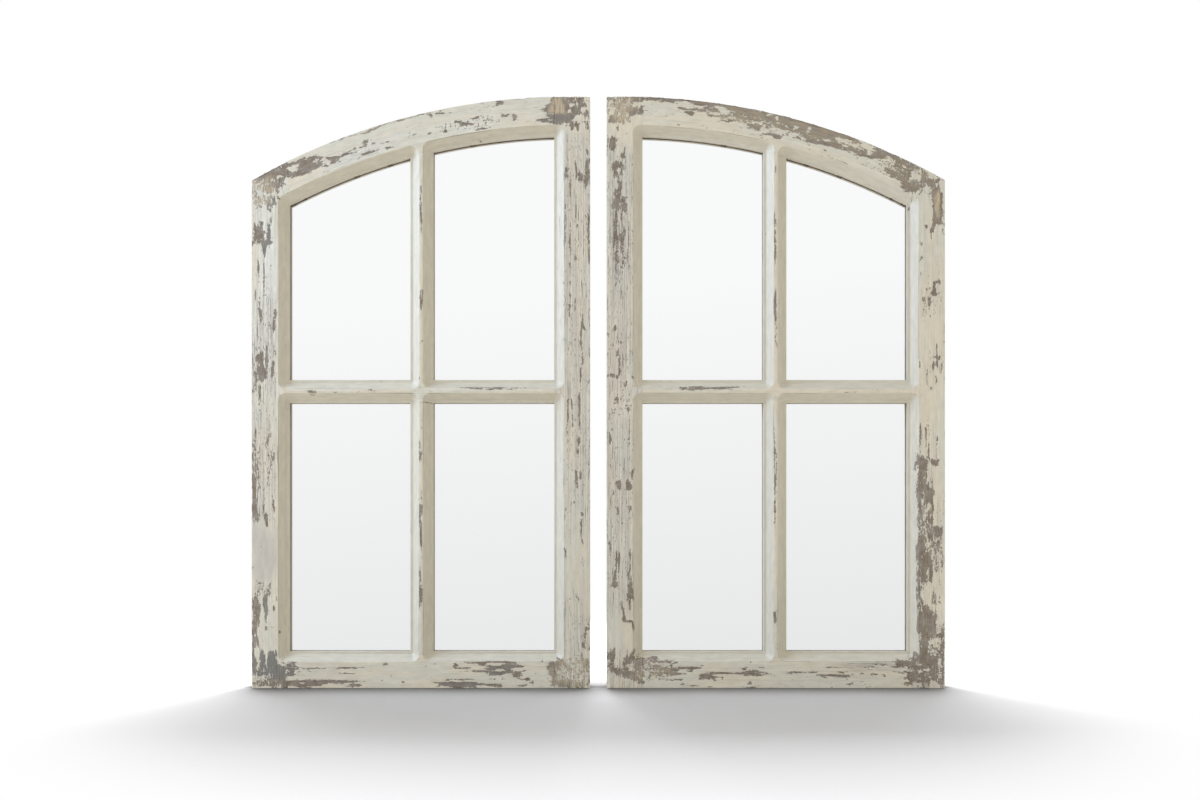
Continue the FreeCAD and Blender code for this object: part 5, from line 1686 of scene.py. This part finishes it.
@dataclass
class Studio:
    """A pale floor, soft lights and a level camera in front of the pair.

    The cool side lamp is kept off the floor.  Of the two lamps above and behind, the wide one lights the
    floor alone, and softens the pair's shadow.
    """

    lamps: tuple[Lamp, ...] = (
        Lamp("side_light", (-3.1, -1.0, 2.2), (0.0, 0.0, 0.55), (1.3, 1.3), 112.0, "#bfd7fb",
             Reach.ALL_BUT_THE_FLOOR),
        Lamp("top_light", (-0.1, 1.25, 2.6), (0.0, -0.2, 0.0), (0.4, 1.1), 34.0),
        Lamp("wide_top_light", (-0.1, 1.25, 2.6), (0.0, -0.2, 0.0), (2.9, 1.2), 118.0,
             reach=Reach.THE_FLOOR),
    )
    floor_size: float = 14.0
    floor: str = "#e4e5ea"
    floor_bounce: str = "#e8e8e8"
    contact_reach: float = 0.15
    shadow_span: tuple[float, float] = (0.72, 1.05)  # where the floor fades into white, aside and in depth
    ambient: str = "#fffcf4"
    ambient_strength: float = 0.675
    camera_place: tuple[float, float, float] = (0.003, -2.221, 0.327)
    lens: float = 36.6
    rise: float = 0.089

    def build(self) -> None:
        """Make the floor, the lamps, the world and the camera."""
        floor = self.add_floor()
        for lamp in self.lamps:
            lamp.build(floor)
        self.add_world()
        self.add_camera()

    def add_floor(self) -> bpy.types.Object:
        """Add the floor: it takes the pair's shadow, with painted contact shade, and fades into white away
        from it.

        Returns:
            The floor.
        """
        half = self.floor_size / 2
        mesh = bpy.data.meshes.new("floor")
        mesh.from_pydata([(-half, -half, 0), (half, -half, 0), (half, half, 0), (-half, half, 0)], [],
                         [(0, 1, 2, 3)])
        material, tree, output = new_material("pale_studio_floor")
        place = add_node(tree, "ShaderNodeTexCoord").outputs["Object"]
        across, deep = self.shadow_span
        apart = add_node(tree, "ShaderNodeVectorMath", {0: place, 1: (1 / across, 1 / deep, 1.0)},
                         operation="MULTIPLY")
        reach = add_node(tree, "ShaderNodeVectorMath", {0: apart}, operation="LENGTH").outputs["Value"]
        far = add_node(tree, "ShaderNodeMapRange", {"Value": reach, "From Min": 0.85, "From Max": 1.35},
                       interpolation_type="SMOOTHSTEP")
        # painted contact shade: near the pair the floor's colour darkens by ambient occlusion
        near = add_node(tree, "ShaderNodeAmbientOcclusion", {"Distance": self.contact_reach}, samples=16)
        open_sky = add_node(tree, "ShaderNodeMapRange", {"Value": near.outputs["AO"], "From Min": 0.5,
                                                         "To Min": 0.3, "To Max": 1.0},
                            interpolation_type="SMOOTHSTEP")
        tone = add_node(tree, "ShaderNodeMix", {"Factor": open_sky, "A": linear("#000000"),
                                                "B": linear(self.floor)}, data_type="RGBA")
        rays = add_node(tree, "ShaderNodeLightPath").outputs["Is Camera Ray"]
        seen = add_node(tree, "ShaderNodeMix", {"Factor": rays, "A": linear(self.floor_bounce), "B": tone},
                        data_type="RGBA")
        shader = add_node(tree, "ShaderNodeBsdfDiffuse", {"Color": seen})
        white = add_node(tree, "ShaderNodeEmission", {"Strength": 1.0})
        fade = add_node(tree, "ShaderNodeMath", {0: far, 1: rays}, operation="MULTIPLY")
        clear = add_node(tree, "ShaderNodeMath", {0: fade, 1: open_sky}, operation="MULTIPLY")
        mixed = add_node(tree, "ShaderNodeMixShader", {0: clear, 1: shader, 2: white})
        tree.links.new(mixed.outputs[0], output.inputs[0])
        mesh.materials.append(material)
        floor = new_object("floor", mesh)
        floor.visible_glossy = False
        return floor

    def add_world(self) -> None:
        """Add the even light of the room, and the white that the camera and the mirrors see."""
        world = bpy.data.worlds.new("studio")
        world.use_nodes = True
        bpy.context.scene.world = world
        tree = world.node_tree
        tree.nodes.clear()
        rays = add_node(tree, "ShaderNodeLightPath")
        seen = add_node(tree, "ShaderNodeMath", {0: rays.outputs["Is Camera Ray"],
                                                 1: rays.outputs["Is Transmission Ray"]}, operation="MAXIMUM")
        way = add_node(tree, "ShaderNodeTexCoord").outputs["Generated"]
        up = add_node(tree, "ShaderNodeVectorMath", {0: way, 1: (-0.1, 0.0, 1.0)}, operation="DOT_PRODUCT")
        shade = add_node(tree, "ShaderNodeMapRange", {"Value": up.outputs["Value"], "From Min": -0.14,
                                                      "From Max": 0.18, "To Min": 0.87, "To Max": 1.03})
        ambient = add_node(tree, "ShaderNodeBackground", {"Color": linear(self.ambient),
                                                          "Strength": self.ambient_strength})
        white = add_node(tree, "ShaderNodeBackground", {"Color": (1.0, 1.0, 1.0, 1.0), "Strength": 1.0})
        room = add_node(tree, "ShaderNodeBackground", {"Color": (0.985, 0.99, 1.0, 1.0), "Strength": shade})
        mirrored = add_node(tree, "ShaderNodeMixShader", {0: rays.outputs["Is Glossy Ray"], 1: ambient,
                                                          2: room})
        lit = add_node(tree, "ShaderNodeMixShader", {0: seen, 1: mirrored, 2: white})
        add_node(tree, "ShaderNodeOutputWorld", {"Surface": lit})

    def add_camera(self) -> None:
        """Add the level camera, its view shifted up as the photograph's is."""
        data = bpy.data.cameras.new("camera")
        data.lens = self.lens
        data.sensor_width = 36.0
        data.shift_y = self.rise
        camera = bpy.data.objects.new("camera", data)
        camera.location = self.camera_place
        camera.rotation_euler = (math.radians(90), 0, 0)
        bpy.context.scene.collection.objects.link(camera)
        bpy.context.scene.camera = camera


def main() -> None:
    """Dress both leaves and set up the studio."""
    logging.basicConfig(level=logging.INFO, format="%(message)s")
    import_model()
    plan = SashPlan.read()
    finishes = Finishes.build()
    trees = {
        "weathering": weathering_tree(PAINT, finishes),
        "screws": spread_tree("screws", finishes.zinc),
        "bumpers": spread_tree("bumpers", finishes.rubber),
        "wire": wire_tree(finishes.zinc),
    }
    blanks = member_blanks(plan)
    for leaf in (Leaf(Hand.LEFT, LEFT_WEAR), Leaf(Hand.RIGHT, RIGHT_WEAR)):
        for piece in leaf.build(plan, blanks, finishes, trees):
            LOG.info("%s: %d faces", piece.name, len(piece.data.polygons))
    Studio().build()
    bpy.context.scene.view_settings.view_transform = "Standard"


if __name__ == "__main__":
    main()
